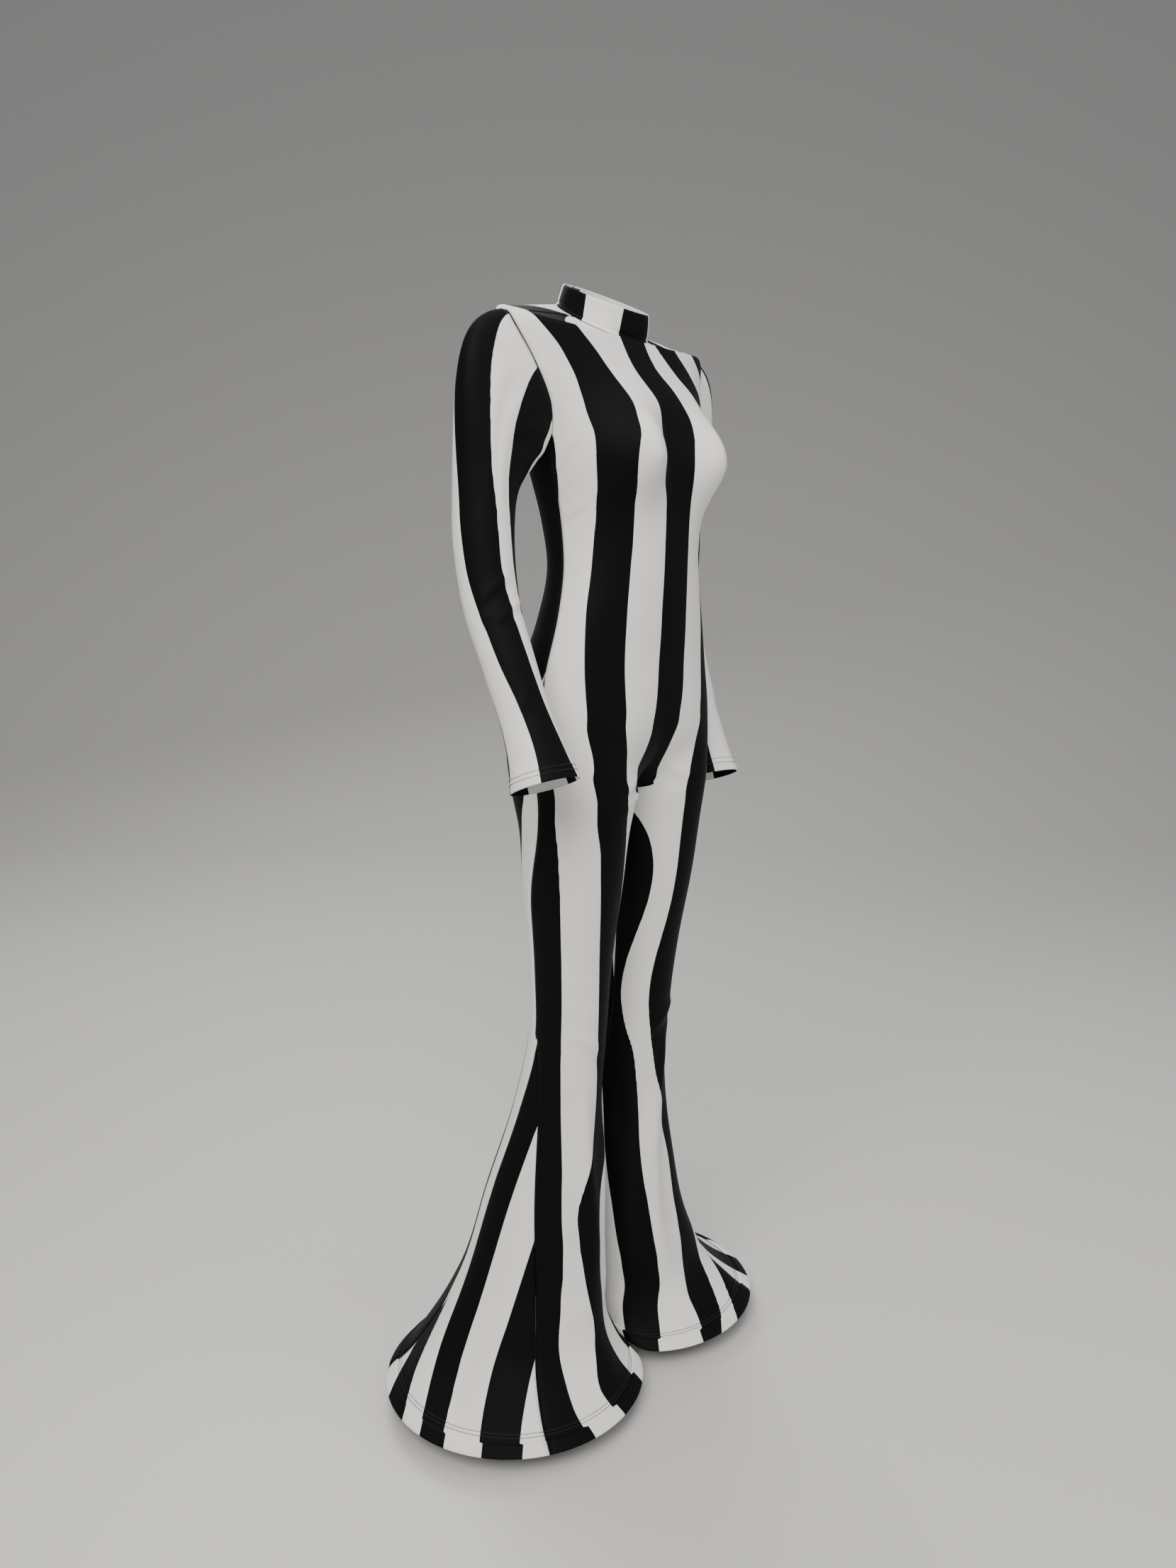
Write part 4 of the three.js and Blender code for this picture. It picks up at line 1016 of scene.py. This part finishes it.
@dataclass
class Panels:
    """The suit's trunk and legs: one front, two backs and two flare wedges."""

    body: Body
    stripes: StripeLayout
    drape: BodyDrape
    columns: int = 44
    wedge_columns: int = 44
    hem_band: float = 18.0
    hem_step: float = 2.2
    fold_shift: float = 0.09  # how far the print jumps where the hem is folded
    jersey: Optional[bpy.types.Material] = None

    def torso_runs(self) -> Array:
        """Runs down from the neck to the crotch, closer together where the cloth turns."""
        low = 110 * np.linspace(1, 0, 40) ** 1.5
        high = np.linspace(self.body.shoulder_run, 110, 110)[:-1]
        neck = np.linspace(self.body.neck_run, self.body.shoulder_run, 34)[:-1]
        return np.concatenate([neck, high, low])

    def leg_runs(self) -> Array:
        """Runs down from the crotch to the rim, closest at the hem's band."""
        thigh = np.linspace(-2, -338, 62)
        bell = np.linspace(-338, -826, 74)[1:]
        hem = np.linspace(-826, -855, 40)[1:]
        return np.concatenate([thigh, bell, hem])

    def finish_rows(
        self, side: int, share: Array, run: Array, edges: tuple[bool, bool]
    ) -> tuple[Array, Array, Array]:
        """Worn points, normals and print shift of one panel's grid.

        The cloth is moved out by the drape, in by a bell curve 0.7 mm deep at each sewn edge,
        and out by a step at the band along the hem.
        """
        points = self.body.point(share, run)
        normals = self.body.normal(share, run)
        arc = lengths_across(points)
        back_arc = arc[:, -1:] - arc
        offset = self.drape.offset(side, share, run)
        for wanted, distance in zip(edges, (arc, back_arc)):
            if wanted:
                offset = offset - 0.75 * gaussian(distance, 2.6) + 0.35 * gaussian(distance - 5.5, 2.2)
        rise = np.linalg.norm(np.diff(points, axis=0), axis=-1)
        above_rim = np.concatenate([np.cumsum(rise[::-1], 0)[::-1], np.zeros((1, points.shape[1]))])
        band = 1 - smoothstep(above_rim, self.hem_band - 0.6, self.hem_band + 0.6)
        rolled = 0.9 * gaussian(above_rim, 1.1)
        offset = offset + np.where(run < -700, self.hem_step * band - rolled, 0)
        shift = np.where(run < -700, self.fold_shift * band, 0)
        return points + offset[..., None] * normals, normals, shift

    def half_front(self, side: int) -> tuple[Array, Array, Array, Array]:
        """One half of the front: points, normals, phase and grain on a grid."""
        run = np.concatenate([self.torso_runs(), self.leg_runs()])[:, None]
        gap = SEAM_GAP / MEAN_GIRTH
        edge = np.where(run >= 0, 0.5 - self.body.armhole_reach(run), self.body.side_seam(run)) - gap
        start = np.where(run < 0, gap, 0.0)
        share = mix(start, edge, np.linspace(0, 1, self.columns)[None, :])
        run_grid = np.broadcast_to(run, share.shape)
        smooth = self.body.point(share, run_grid)
        arc = lengths_across(smooth)
        quarter = self.body.point(np.linspace(gap, 0.25, 30)[None, :] * np.ones_like(run), run)
        front_line = lengths_across(quarter)[:, -1:]
        phase = self.stripes.front_phase(side, run, arc, front_line)
        points, normals, shift = self.finish_rows(side, share, run_grid, (False, True))
        phase = phase + shift * side
        points[..., 0] = np.where((run_grid >= 0) & (share == 0), 0.0, points[..., 0])
        flip = np.array([side, 1.0, 1.0])
        grain = np.stack([arc * side, run_grid], -1)
        return points * flip, normals * flip, phase, grain

    def front(self) -> bpy.types.Object:
        """The front panel from neck to both hems; its halves share their middle points."""
        left, right = self.half_front(1), self.half_front(-1)
        rows, columns = left[0].shape[:2]
        first = rows * columns
        quads = grid_quads(rows, columns)
        shared = len(self.torso_runs())
        renumber = np.arange(2 * first)
        middle = np.arange(shared) * columns
        renumber[first + middle] = middle
        both = renumber[np.concatenate([quads, quads[:, ::-1] + first])]
        points, normals, phase, grain = (
            np.concatenate([a.reshape(first, -1), b.reshape(first, -1)]) for a, b in zip(left, right)
        )
        normals[middle, 0] = 0
        used, compact = np.unique(both, return_inverse=True)
        sheet = Sheet(
            points[used], unit(normals[used]), phase[used, 0], grain[used], compact.reshape(both.shape)
        )
        piece = sheet.shell("front_cloth", 0, -CLOTH_WALL)
        settle(piece, ["front_panel"], self.jersey)
        return piece

    def back(self, side: int) -> bpy.types.Object:
        """Half of the back, with the back of one leg."""
        run = np.concatenate([self.torso_runs(), self.leg_runs()])[:, None]
        gap = SEAM_GAP / MEAN_GIRTH
        leg_start = self.body.side_seam(run) + self.body.godet_share(run)
        start = np.where(run >= 0, 0.5 + self.body.armhole_reach(run), leg_start) + gap
        end = np.where(run < 0, 1 - gap, 1.0)
        spread = np.linspace(0, 1, self.columns)[None, :]
        share = mix(start, end, spread)
        run_grid = np.broadcast_to(run, share.shape)
        points, normals, shift = self.finish_rows(side, share, run_grid, (True, False))
        zip_line = self.body.zip_line
        open_up = smoothstep(points[..., 2], zip_line.bottom - 30, zip_line.bottom - 12)
        edge_x = mix(SEAM_GAP / 2, zip_line.opening, open_up)
        near = smoothstep(spread, 0.9, 1.0) * (run_grid >= 0)
        points[..., 0] = np.maximum(points[..., 0], edge_x * near)
        phase = self.stripes.back_phase(run_grid, share) + shift
        arc = lengths_across(points)
        flip = np.array([side, 1.0, 1.0])
        grain = np.stack([arc * side, run_grid], -1)
        sheet = Sheet(
            (points * flip).reshape(-1, 3),
            (normals * flip).reshape(-1, 3),
            phase.ravel(),
            grain.reshape(-1, 2),
            grid_quads(*share.shape),
        )
        word = side_word(side)
        piece = sheet.shell(f"back_cloth_{word}", 0, -CLOTH_WALL)
        settle(piece, [f"back_panel_{word}"], self.jersey)
        return piece

    def wedge(self, side: int) -> bpy.types.Object:
        """The wedge let into the side seam below the knee, whose stripes run on a slant."""
        run = self.leg_runs()
        run = run[run < -344][:, None]
        gap = SEAM_GAP / MEAN_GIRTH
        start = self.body.side_seam(run)
        share = mix(start + gap, start + self.body.godet_share(run) - gap, np.linspace(0, 1, self.wedge_columns))
        run_grid = np.broadcast_to(run, share.shape)
        smooth = self.body.point(share, run_grid)
        arc = lengths_across(smooth)
        down = np.concatenate([[0], np.cumsum(np.linalg.norm(np.diff(smooth[:, 0], axis=0), axis=-1))])
        phase = self.stripes.wedge_phase(arc, down[:, None] + 8)
        points, normals, shift = self.finish_rows(side, share, run_grid, (True, True))
        phase = phase + shift
        flip = np.array([side, 1.0, 1.0])
        grain = np.stack([arc * side, run_grid], -1)
        sheet = Sheet(
            (points * flip).reshape(-1, 3),
            (normals * flip).reshape(-1, 3),
            phase.ravel(),
            grain.reshape(-1, 2),
            grid_quads(*share.shape),
        )
        word = side_word(side)
        piece = sheet.shell(f"wedge_cloth_{word}", 0, -CLOTH_WALL)
        settle(piece, [f"flare_godet_{word}"], self.jersey)
        return piece


class Side(IntEnum):
    """The wearer's side, as the sign of x."""

    RIGHT = -1
    LEFT = 1


def side_word(side: int) -> str:
    """The wearer's side in words."""
    return Side(side).name.lower()


@dataclass
class Sleeve:
    """One long sleeve, from the armhole to the cuff."""

    body: Body
    stripes: StripeLayout
    arm: Arm
    jersey: bpy.types.Material
    around: int = 88
    length: float = 560.0
    girth: float = 245.0  # mean way round the tube, which folds and knit are laid out on
    start: float = 0.0012

    def armhole(self, places: Array) -> Array:
        """Armhole points at places round the loop: up the front edge and down the back."""
        low, high = self.body.armhole_low_run, self.body.shoulder_run
        run = np.linspace(low, high, 181)
        front = self.body.point(0.5 - self.body.armhole_reach(run), run)
        back = self.body.point(0.5 + self.body.armhole_reach(run), run)[::-1]
        loop = np.concatenate([front, back[1:]])
        turns = np.linspace(0, 1, len(loop))
        return np.stack([np.interp(places, turns, loop[:, k]) for k in range(3)], -1)

    def surface(self, loop: Array, share: Array) -> Array:
        """Smooth sleeve points without folds."""
        return self.arm.points(self.armhole(loop), loop, share)

    def grid(self, share: Array) -> tuple[Array, Array, Array, Array]:
        """Points and normals at some shares of the length, with loop and share grids."""
        loop = np.broadcast_to(np.linspace(0, 1, self.around + 1)[:-1], (len(share), self.around))
        share_grid = np.broadcast_to(share[:, None], loop.shape)
        points = self.surface(loop, share_grid)
        normals = grid_normals(points, closed=True)
        centre = points.mean(1, keepdims=True)
        if ((points - centre) * normals).sum() < 0:
            normals = -normals
        return points, normals, loop, share_grid

    def make(self) -> bpy.types.Object:
        """The sleeve as a closed tube of cloth with soft folds."""
        share = np.concatenate([np.linspace(self.start, 0.95, 112), np.linspace(0.95, 1, 26)[1:]])
        points, normals, loop, share_grid = self.grid(share)
        girth = self.girth
        along = share_grid * self.length
        offset = np.zeros(loop.shape)
        for fold in SLEEVE_FOLDS:
            for wrap in (-girth, 0.0, girth):
                offset = offset + fold.offset(loop * girth + wrap, along)
        offset = offset * smoothstep(share_grid, 0.015, 0.08) * (1 - smoothstep(share_grid, 0.9, 0.96))
        above = (1 - share_grid) * self.length
        offset = offset + 0.45 * (1 - smoothstep(above, 19.2, 20.6)) - 0.6 * gaussian(above, 1.0)
        offset = offset - 0.75 * gaussian(along, 2.6) + 0.5 * gaussian(along - 5.5, 2.4)
        offset = offset - 0.5 * gaussian(np.minimum(loop, 1 - loop) * girth, 1.8)
        points = points + offset[..., None] * normals
        phase = self.stripes.sleeve_phase(self.arm.side, loop, share_grid)
        seam = self.seamed(points, normals, phase, loop, share_grid)
        word = side_word(self.arm.side)
        piece = seam.shell(f"sleeve_cloth_{word}", 0, -CLOTH_WALL)
        settle(piece, [f"sleeve_{word}"], self.jersey)
        return piece

    def seamed(self, points: Array, normals: Array, phase: Array, loop: Array, share: Array) -> Sheet:
        """Closes the tube with a doubled column, so the print may break at the underarm seam."""
        rows, columns = loop.shape
        doubled = [np.concatenate([a, a[:, :1]], 1) for a in (points, normals)]
        end_phase = self.stripes.sleeve_phase(self.arm.side, np.ones((rows, 1)), share[:, :1])
        phase = np.concatenate([phase, end_phase], 1)
        across = np.concatenate([loop, np.ones((rows, 1))], 1) * self.girth
        along = np.concatenate([share, share[:, :1]], 1) * self.length
        flip = np.array([self.arm.side, 1.0, 1.0])
        doubled[0][:, -1] = points[:, 0] + 0.03 * unit(points[:, -1] - points[:, 0])
        return Sheet(
            (doubled[0] * flip).reshape(-1, 3),
            (doubled[1] * flip).reshape(-1, 3),
            phase.ravel(),
            np.stack([across * self.arm.side, along], -1).reshape(-1, 2),
            grid_quads(rows, columns + 1),
        )


@dataclass
class Collar:
    """The standing collar: an outer layer and its lining, folded at the rim."""

    body: Body
    stripes: StripeLayout
    jersey: bpy.types.Material
    lining: bpy.types.Material
    rise: float = 26.0
    rim_slope: float = 0.46
    rim_half_width: float = 58.0
    rim_half_depth: float = 57.0
    half_length: float = 195.0

    def surface(self, share: Array, height: Array) -> Array:
        """Collar points: straight from the neck seam to a tilted oval rim, on the zip's arc behind."""
        neck = np.full_like(share, self.body.neck_run)
        base = self.body.torso(share, neck)
        back = self.body.torso(np.array(1.0), np.array(self.body.neck_run))
        rim_z = back[2] + self.rise
        rim_y = self.body.zip_line.y(rim_z)
        turn = np.pi * (share - 0.5)
        y = rim_y - self.rim_half_depth + self.rim_half_depth * np.sin(turn)
        rim = np.stack([self.rim_half_width * np.cos(turn), y, rim_z - self.rim_slope * (rim_y - y)], -1)
        points = mix(base, rim, height[..., None])
        arc_y = self.body.zip_line.y(mix(back[2], rim_z, height))
        straight = mix(back[1], rim_y, height)
        drawn = (arc_y - straight) * gaussian(points[..., 0], 30)
        points[..., 1] += np.where(share > 0.5, drawn, 0)
        return points

    def layer(self, roll: float) -> Sheet:
        """A layer's grid from one side of the zip round the front to the other.

        The foot bulges in a rolled seam, and the rim turns in by the roll.
        """
        columns, rows = 150, 26
        signed = np.linspace(-1, 1, columns)[None, :]
        height = np.linspace(0.012, 1, rows)[:, None]
        share, height = np.broadcast_arrays(np.abs(signed), height)
        points = self.surface(share.copy(), height.copy())
        opening = self.body.zip_line.opening
        points[..., 0] = np.maximum(points[..., 0], opening * smoothstep(share, 0.96, 1.0))
        points[..., 0] *= np.where(signed < 0, -1, 1)
        normals = grid_normals(points)
        if (normals[:, columns // 2, 1]).sum() > 0:
            normals = -normals
        offset = roll * (1.5 * gaussian(height - 0.05, 0.055) - 1.0 * gaussian(height - 0.16, 0.05))
        offset = offset - roll * 0.9 * smoothstep(height, 0.93, 1.0)
        buckle = 0.9 * np.sin(6.2 * signed + 0.6) * np.sin(np.pi * height)
        points = points + (offset + buckle)[..., None] * normals
        phase = self.stripes.collar_phase(np.broadcast_to(signed, share.shape))
        grain = np.stack([np.broadcast_to(signed, share.shape) * self.half_length, height * self.rise], -1)
        return Sheet(
            points.reshape(-1, 3),
            normals.reshape(-1, 3),
            phase.ravel(),
            grain.reshape(-1, 2),
            grid_quads(rows, columns),
        )

    def make(self) -> None:
        """Both layers."""
        outer = self.layer(1.0).shell("collar_cloth", 0.0, -0.9)
        settle(outer, ["collar_outer"], self.jersey)
        inner = self.layer(0.0).shell("collar_lining_cloth", -1.35, -2.2)
        settle(inner, ["collar_lining"], self.lining)


class Stitches:
    """Rows of separate stitches laid on cloth."""

    LENGTH = 2.7
    PITCH = 3.5
    RADIUS = 0.5
    SECTIONS = 5
    SIDES = 6

    @classmethod
    def row(cls, points: Array, normals: Array, lift: float) -> tuple[Array, Array]:
        """Stitches along a closed line of points.

        Each stitch is a round bar whose radius follows half a sine wave and whose ends dip
        into the cloth.

        Args:
            points: The line's points, without a repeated last one.
            normals: Outward normals at the points.
            lift: Height of a stitch's middle above the line.

        Returns:
            Vertices and quads.
        """
        ring = np.concatenate([points, points[:1]])
        facing = np.concatenate([normals, normals[:1]])
        walked = np.concatenate([[0], np.cumsum(np.linalg.norm(np.diff(ring, axis=0), axis=1))])
        count = int(walked[-1] / cls.PITCH)
        t = np.linspace(-0.5, 0.5, cls.SECTIONS)
        place = (np.arange(count)[:, None] + 0.5) * walked[-1] / count + t[None, :] * cls.LENGTH
        centre = np.stack([np.interp(place, walked, ring[:, k]) for k in range(3)], -1)
        up = unit(np.stack([np.interp(place, walked, facing[:, k]) for k in range(3)], -1))
        along = unit(centre[:, -1] - centre[:, 0])[:, None, :]
        sideways = unit(np.cross(up, np.broadcast_to(along, up.shape)))
        arch = np.cos(np.pi * t)[None, :, None]
        centre = centre + up * (lift * (0.35 + 0.65 * arch))
        radius = cls.RADIUS * (0.35 + 0.65 * np.sqrt(np.maximum(arch, 0)))
        turn = 2 * np.pi * np.arange(cls.SIDES) / cls.SIDES
        rings = (
            centre[:, :, None, :]
            + radius[..., None]
            * (
                sideways[:, :, None, :] * np.cos(turn)[:, None]
                + up[:, :, None, :] * np.sin(turn)[:, None]
            )
        )
        quads = grid_quads(cls.SECTIONS, cls.SIDES, closed=True)
        last = (cls.SECTIONS - 1) * cls.SIDES
        caps = np.array([[0, 1, 2, 3], [0, 3, 4, 5]])
        quads = np.concatenate([quads[:, ::-1], caps, caps[:, ::-1] + last])
        size = cls.SECTIONS * cls.SIDES
        every = (quads[None] + np.arange(count)[:, None, None] * size).reshape(-1, 4)
        return rings.reshape(-1, 3), every


@dataclass
class Edging:
    """Hem braid, hem stitching and cuff stitching."""

    panels: Panels
    thread: bpy.types.Material
    braid: bpy.types.Material
    hem_rows: tuple[float, float] = (23.4, 27.9)
    cuff_rows: tuple[float, float] = (11.4, 18.4)

    def rim_height(self, distance: float) -> float:
        """Height on the bell that lies a distance along the cloth above the rim, at the front."""
        z = np.linspace(30, 75, 400)
        line = self.panels.body.leg(np.full_like(z, 0.25), z)
        walked = np.concatenate([[0], np.cumsum(np.linalg.norm(np.diff(line, axis=0), axis=1))])
        return float(np.interp(distance, walked, z))

    def ring(self, side: int, distances: Sequence[float], count: int = 240) -> tuple[Array, Array]:
        """Closed rings on a bell at distances above the rim, with their normals."""
        share = np.broadcast_to(np.linspace(0, 1, count + 1)[:-1], (len(distances), count))
        height = np.array([self.rim_height(d) for d in distances])[:, None]
        run = np.broadcast_to(height - Body.CROTCH, share.shape)
        points = self.panels.body.point(share, run)
        normals = self.panels.body.normal(share, run)
        points = points + self.panels.drape.offset(side, share, run)[..., None] * normals
        flip = np.array([side, 1.0, 1.0])
        return points * flip, normals * flip

    def hem(self, side: int) -> None:
        """Two rows of stitches and the braid inside the fold of one hem."""
        word = side_word(side)
        for row, distance in zip(("lower", "upper"), self.hem_rows):
            points, normals = self.ring(side, [distance], 480)
            vertices, quads = Stitches.row(points[0], normals[0], 0.3)
            node = f"hem_thread_{row}_{word}"
            settle(outward(f"hem_stitches_{row}_{word}", vertices, quads), [node], self.thread)
        points, normals = self.ring(side, np.linspace(17.5, 1.5, 6))
        rows, count = points.shape[:2]
        along = np.broadcast_to(np.linspace(17.5, 1.5, 6)[:, None], (rows, count))
        across = np.broadcast_to(np.linspace(0, 1175, count), (rows, count))
        sheet = Sheet(
            points.reshape(-1, 3),
            normals.reshape(-1, 3),
            np.zeros(rows * count),
            np.stack([across, along], -1).reshape(-1, 2),
            grid_quads(rows, count, closed=True),
        )
        piece = sheet.shell(f"hem_braid_cloth_{word}", -1.6, -2.4)
        settle(piece, [f"hem_braid_{word}"], self.braid)

    def cuff(self, sleeve: Sleeve) -> None:
        """Two rows of stitches round one cuff."""
        word = side_word(sleeve.arm.side)
        flip = np.array([sleeve.arm.side, 1.0, 1.0])
        for row, distance in zip(("lower", "upper"), self.cuff_rows):
            share = 1 - (distance + np.array([0.5, 0.0, -0.5])) / sleeve.length
            points, normals, _, _ = sleeve.grid(share)
            vertices, quads = Stitches.row(points[1] * flip, normals[1] * flip, 0.75)
            node = f"cuff_thread_{row}_{word}"
            settle(outward(f"cuff_stitches_{row}_{word}", vertices, quads), [node], self.thread)


def outward(name: str, vertices: Array, quads: Array) -> bpy.types.Object:
    """A mesh whose quads are turned over if its volume comes out negative."""
    a, b, c, d = (vertices[quads[:, k]] for k in range(4))
    volume = (a * np.cross(b, c)).sum() + (a * np.cross(c, d)).sum()
    return new_mesh(name, to_frame(vertices), quads if volume > 0 else quads[:, ::-1])


@dataclass
class Zip:
    """Coil zip along the centre back: tapes, coils, stops, slider and pull."""

    line: ZipLine
    tape: bpy.types.Material
    nylon: bpy.types.Material
    enamel: bpy.types.Material
    tape_depth: float = 3.6
    tape_wall: float = 0.6
    tape_inner: float = 0.7
    tape_width: float = 8.0
    tape_curve: float = 60.0
    low_angle: float = -14.98
    high_angle: float = 16.01
    coil_x: float = 1.75
    coil_depth: float = 2.2
    coil_pitch: float = 1.35
    wire: float = 0.3

    def arc(self, x: Array, radius: Array, degrees: Array) -> Array:
        """Points at a radius and an angle above level about the arc's centre."""
        turn = np.radians(degrees)
        y = self.line.centre_y + radius * np.cos(turn)
        z = self.line.centre_z + radius * np.sin(turn)
        return np.stack(np.broadcast_arrays(x, y, z), -1)

    def tape_half(self, side: int) -> None:
        """One tape: a woven strip that follows the back's curve."""
        degrees = np.linspace(self.low_angle - 1.2, self.high_angle, 180)[:, None]
        x = np.linspace(self.tape_inner, self.tape_inner + self.tape_width, 9)[None, :]
        sag = np.maximum(x - self.line.opening, 0) ** 2 / (2 * self.tape_curve)
        radius = self.line.radius - self.tape_depth - sag
        points = self.arc(x * side, radius, degrees)
        normals = grid_normals(points)
        if normals[..., 1].sum() < 0:
            normals = -normals
        along = np.broadcast_to(degrees * np.pi / 180 * self.line.radius, points.shape[:2])
        across = np.broadcast_to(x * side, points.shape[:2])
        sheet = Sheet(
            points.reshape(-1, 3),
            normals.reshape(-1, 3),
            np.zeros(points.shape[0] * points.shape[1]),
            np.stack([across, along], -1).reshape(-1, 2),
            grid_quads(*points.shape[:2]),
        )
        word = side_word(side)
        piece = sheet.shell(f"zip_tape_cloth_{word}", 0, -self.tape_wall)
        settle(piece, [f"zip_tape_{word}"], self.tape)

    def coil(self, side: int) -> None:
        """One coil: a flattened helix of round wire along the zip's arc.

        The wire's middle goes round an oval, once for each pitch along the zip.
        """
        margin = math.degrees(2.5 / self.line.radius)
        low, high = self.low_angle + margin, self.high_angle - margin
        length = math.radians(high - low) * self.line.radius
        turns = int(length / self.coil_pitch)
        steps = 10
        t = np.linspace(0, turns, turns * steps + 1)
        degrees = mix(low, high, t / turns)
        middle = self.line.radius - self.tape_depth + 0.3 + self.coil_depth / 2
        turn = 2 * np.pi * t
        reach, rise = 1.05 - self.wire, self.coil_depth / 2 - self.wire
        path = self.arc((self.coil_x + reach * np.cos(turn)) * side, middle + rise * np.sin(turn), degrees)
        tangent = unit(np.gradient(path, axis=0))
        inside = self.arc(np.full_like(t, self.coil_x * side), np.full_like(t, middle), degrees)
        out = path - inside
        out = unit(out - (out * tangent).sum(-1, keepdims=True) * tangent)
        across = np.cross(tangent, out)
        sides = 5
        around = 2 * np.pi * np.arange(sides) / sides
        rings = path[:, None, :] + self.wire * (
            out[:, None, :] * np.cos(around)[:, None] + across[:, None, :] * np.sin(around)[:, None]
        )
        quads = grid_quads(len(path), sides, closed=True)
        last = (len(path) - 1) * sides
        quads = quads[:, ::-1]
        vertices = rings.reshape(-1, 3)
        triangles = np.concatenate([quads[:, [0, 1, 2]], quads[:, [0, 2, 3]]])
        fan = np.array([[0, 1, 2], [0, 2, 3], [0, 3, 4]])
        triangles = np.concatenate([triangles, fan, fan[:, ::-1] + last])
        a, b, c = (vertices[triangles[:, k]] for k in range(3))
        if (a * np.cross(b, c)).sum() < 0:
            triangles = triangles[:, ::-1]
        word = side_word(side)
        piece = new_mesh(f"zip_coil_wire_{word}", to_frame(vertices), triangles)
        settle(piece, [f"zip_coil_{word}"], self.nylon)

    def make(self) -> None:
        """The whole zip; the metal parts keep their own shapes and get the enamel."""
        for side in (1, -1):
            self.tape_half(side)
            self.coil(side)
        for name in ("zip_slider", "zip_pull", "zip_top_stop_left", "zip_top_stop_right", "zip_bottom_stop"):
            metal = bpy.data.objects[name]
            metal.data.materials.clear()
            metal.data.materials.append(self.enamel)


# ---------------------------------------------------------------- stage


@dataclass(frozen=True)
class Stage:
    """Floor, soft lights and camera."""

    camera_place: tuple[float, float, float] = (-1.284, -1.033, -0.3938)
    azimuth: float = -50.0
    pitch: float = 9.0
    lens: float = 27.03
    floor_depth: float = -1.5438

    def make(self) -> None:
        """Builds the stage."""
        self.floor()
        self.light("key", (-2.6, -1.2, 1.7), 150.0, 2.2, (1.0, 0.97, 0.93))
        self.light("fill", (1.2, -3.0, 0.6), 36.0, 2.6, (0.96, 0.98, 1.0))
        self.light("rim", (1.4, 2.6, 1.5), 60.0, 1.8, (1.0, 1.0, 1.0))
        self.light("top", (-0.2, -0.2, 2.4), 40.0, 2.4, (1.0, 0.99, 0.97))
        self.sky()
        self.camera()

    def floor(self) -> None:
        """A large flat floor that sweeps up behind into a plain wall."""
        t = np.linspace(-30, 12, 60)
        sweep = np.where(t > 3, (t - 3) ** 2 * 0.2, 0)
        x = np.array([-30.0, 30.0])
        grid = np.stack(
            [
                np.broadcast_to(x[None, :], (60, 2)),
                np.broadcast_to(t[:, None], (60, 2)),
                np.broadcast_to(sweep[:, None], (60, 2)),
            ],
            -1,
        )
        turn = math.radians(-self.azimuth)
        away = np.array([[math.cos(turn), -math.sin(turn), 0], [math.sin(turn), math.cos(turn), 0], [0, 0, 1]])
        points = grid.reshape(-1, 3) @ away
        points[:, 2] += self.floor_depth
        floor = new_mesh("floor", points, grid_quads(60, 2))
        floor.data.materials.append(Backdrop().make())

    def light(
        self,
        name: str,
        place: tuple[float, float, float],
        watts: float,
        size: float,
        colour: tuple[float, float, float],
    ) -> None:
        """One soft square light that faces the suit's middle."""
        data = bpy.data.lights.new(name, "AREA")
        data.energy, data.size, data.color = watts, size, colour
        lamp = bpy.data.objects.new(name, data)
        lamp.location = place
        lamp.rotation_euler = (Vector((0, 0, -0.75)) - Vector(place)).to_track_quat("-Z", "Y").to_euler()
        bpy.context.scene.collection.objects.link(lamp)

    def sky(self) -> None:
        """Even pale light all round."""
        world = bpy.data.worlds.new("studio")
        bpy.context.scene.world = world
        world.use_nodes = True
        background = world.node_tree.nodes["Background"]
        background.inputs[0].default_value = (0.93, 0.94, 0.96, 1.0)
        background.inputs[1].default_value = 0.32

    def camera(self) -> None:
        """The camera, looking down a little from the wearer's right front."""
        data = bpy.data.cameras.new("camera")
        data.sensor_width, data.lens = 36.0, self.lens
        camera = bpy.data.objects.new("camera", data)
        turn, down = math.radians(self.azimuth), math.radians(self.pitch)
        forward = Vector(
            (-math.sin(turn) * math.cos(down), math.cos(turn) * math.cos(down), -math.sin(down))
        )
        camera.location = self.camera_place
        camera.rotation_euler = forward.to_track_quat("-Z", "Y").to_euler()
        bpy.context.scene.collection.objects.link(camera)
        bpy.context.scene.camera = camera


def main() -> None:
    """Builds the suit and its stage."""
    logging.basicConfig(level=logging.INFO, format="%(name)s: %(message)s")
    Stage().make()
    zip_line = ZipLine()
    body = Body(zip_line)
    stripes = StripeLayout(body)
    jersey = Jersey().make()
    lining = Jersey(name="plain_lining", striped=False).make()
    thread = Thread().make()
    # the second colour of each weave is painted shade for the hollows between its threads
    braid = Woven("stiff_braid", (0.72, 0.7, 0.66, 1), (0.4, 0.39, 0.37, 1), 0.0016).make()
    tape = Woven("zip_tape_weave", (0.014, 0.014, 0.016, 1), (0.003, 0.003, 0.004, 1), 0.0007).make()
    panels = Panels(body, stripes, BodyDrape(body), jersey=jersey)
    panels.front()
    edging = Edging(panels, thread, braid)
    for side in (1, -1):
        panels.back(side)
        panels.wedge(side)
        edging.hem(side)
    for arm in (LEFT_ARM, RIGHT_ARM):
        sleeve = Sleeve(body, stripes, arm, jersey)
        sleeve.make()
        edging.cuff(sleeve)
    Collar(body, stripes, jersey, lining).make()
    Zip(zip_line, tape, Nylon().make(), Enamel().make()).make()


if __name__ == "__main__":
    main()
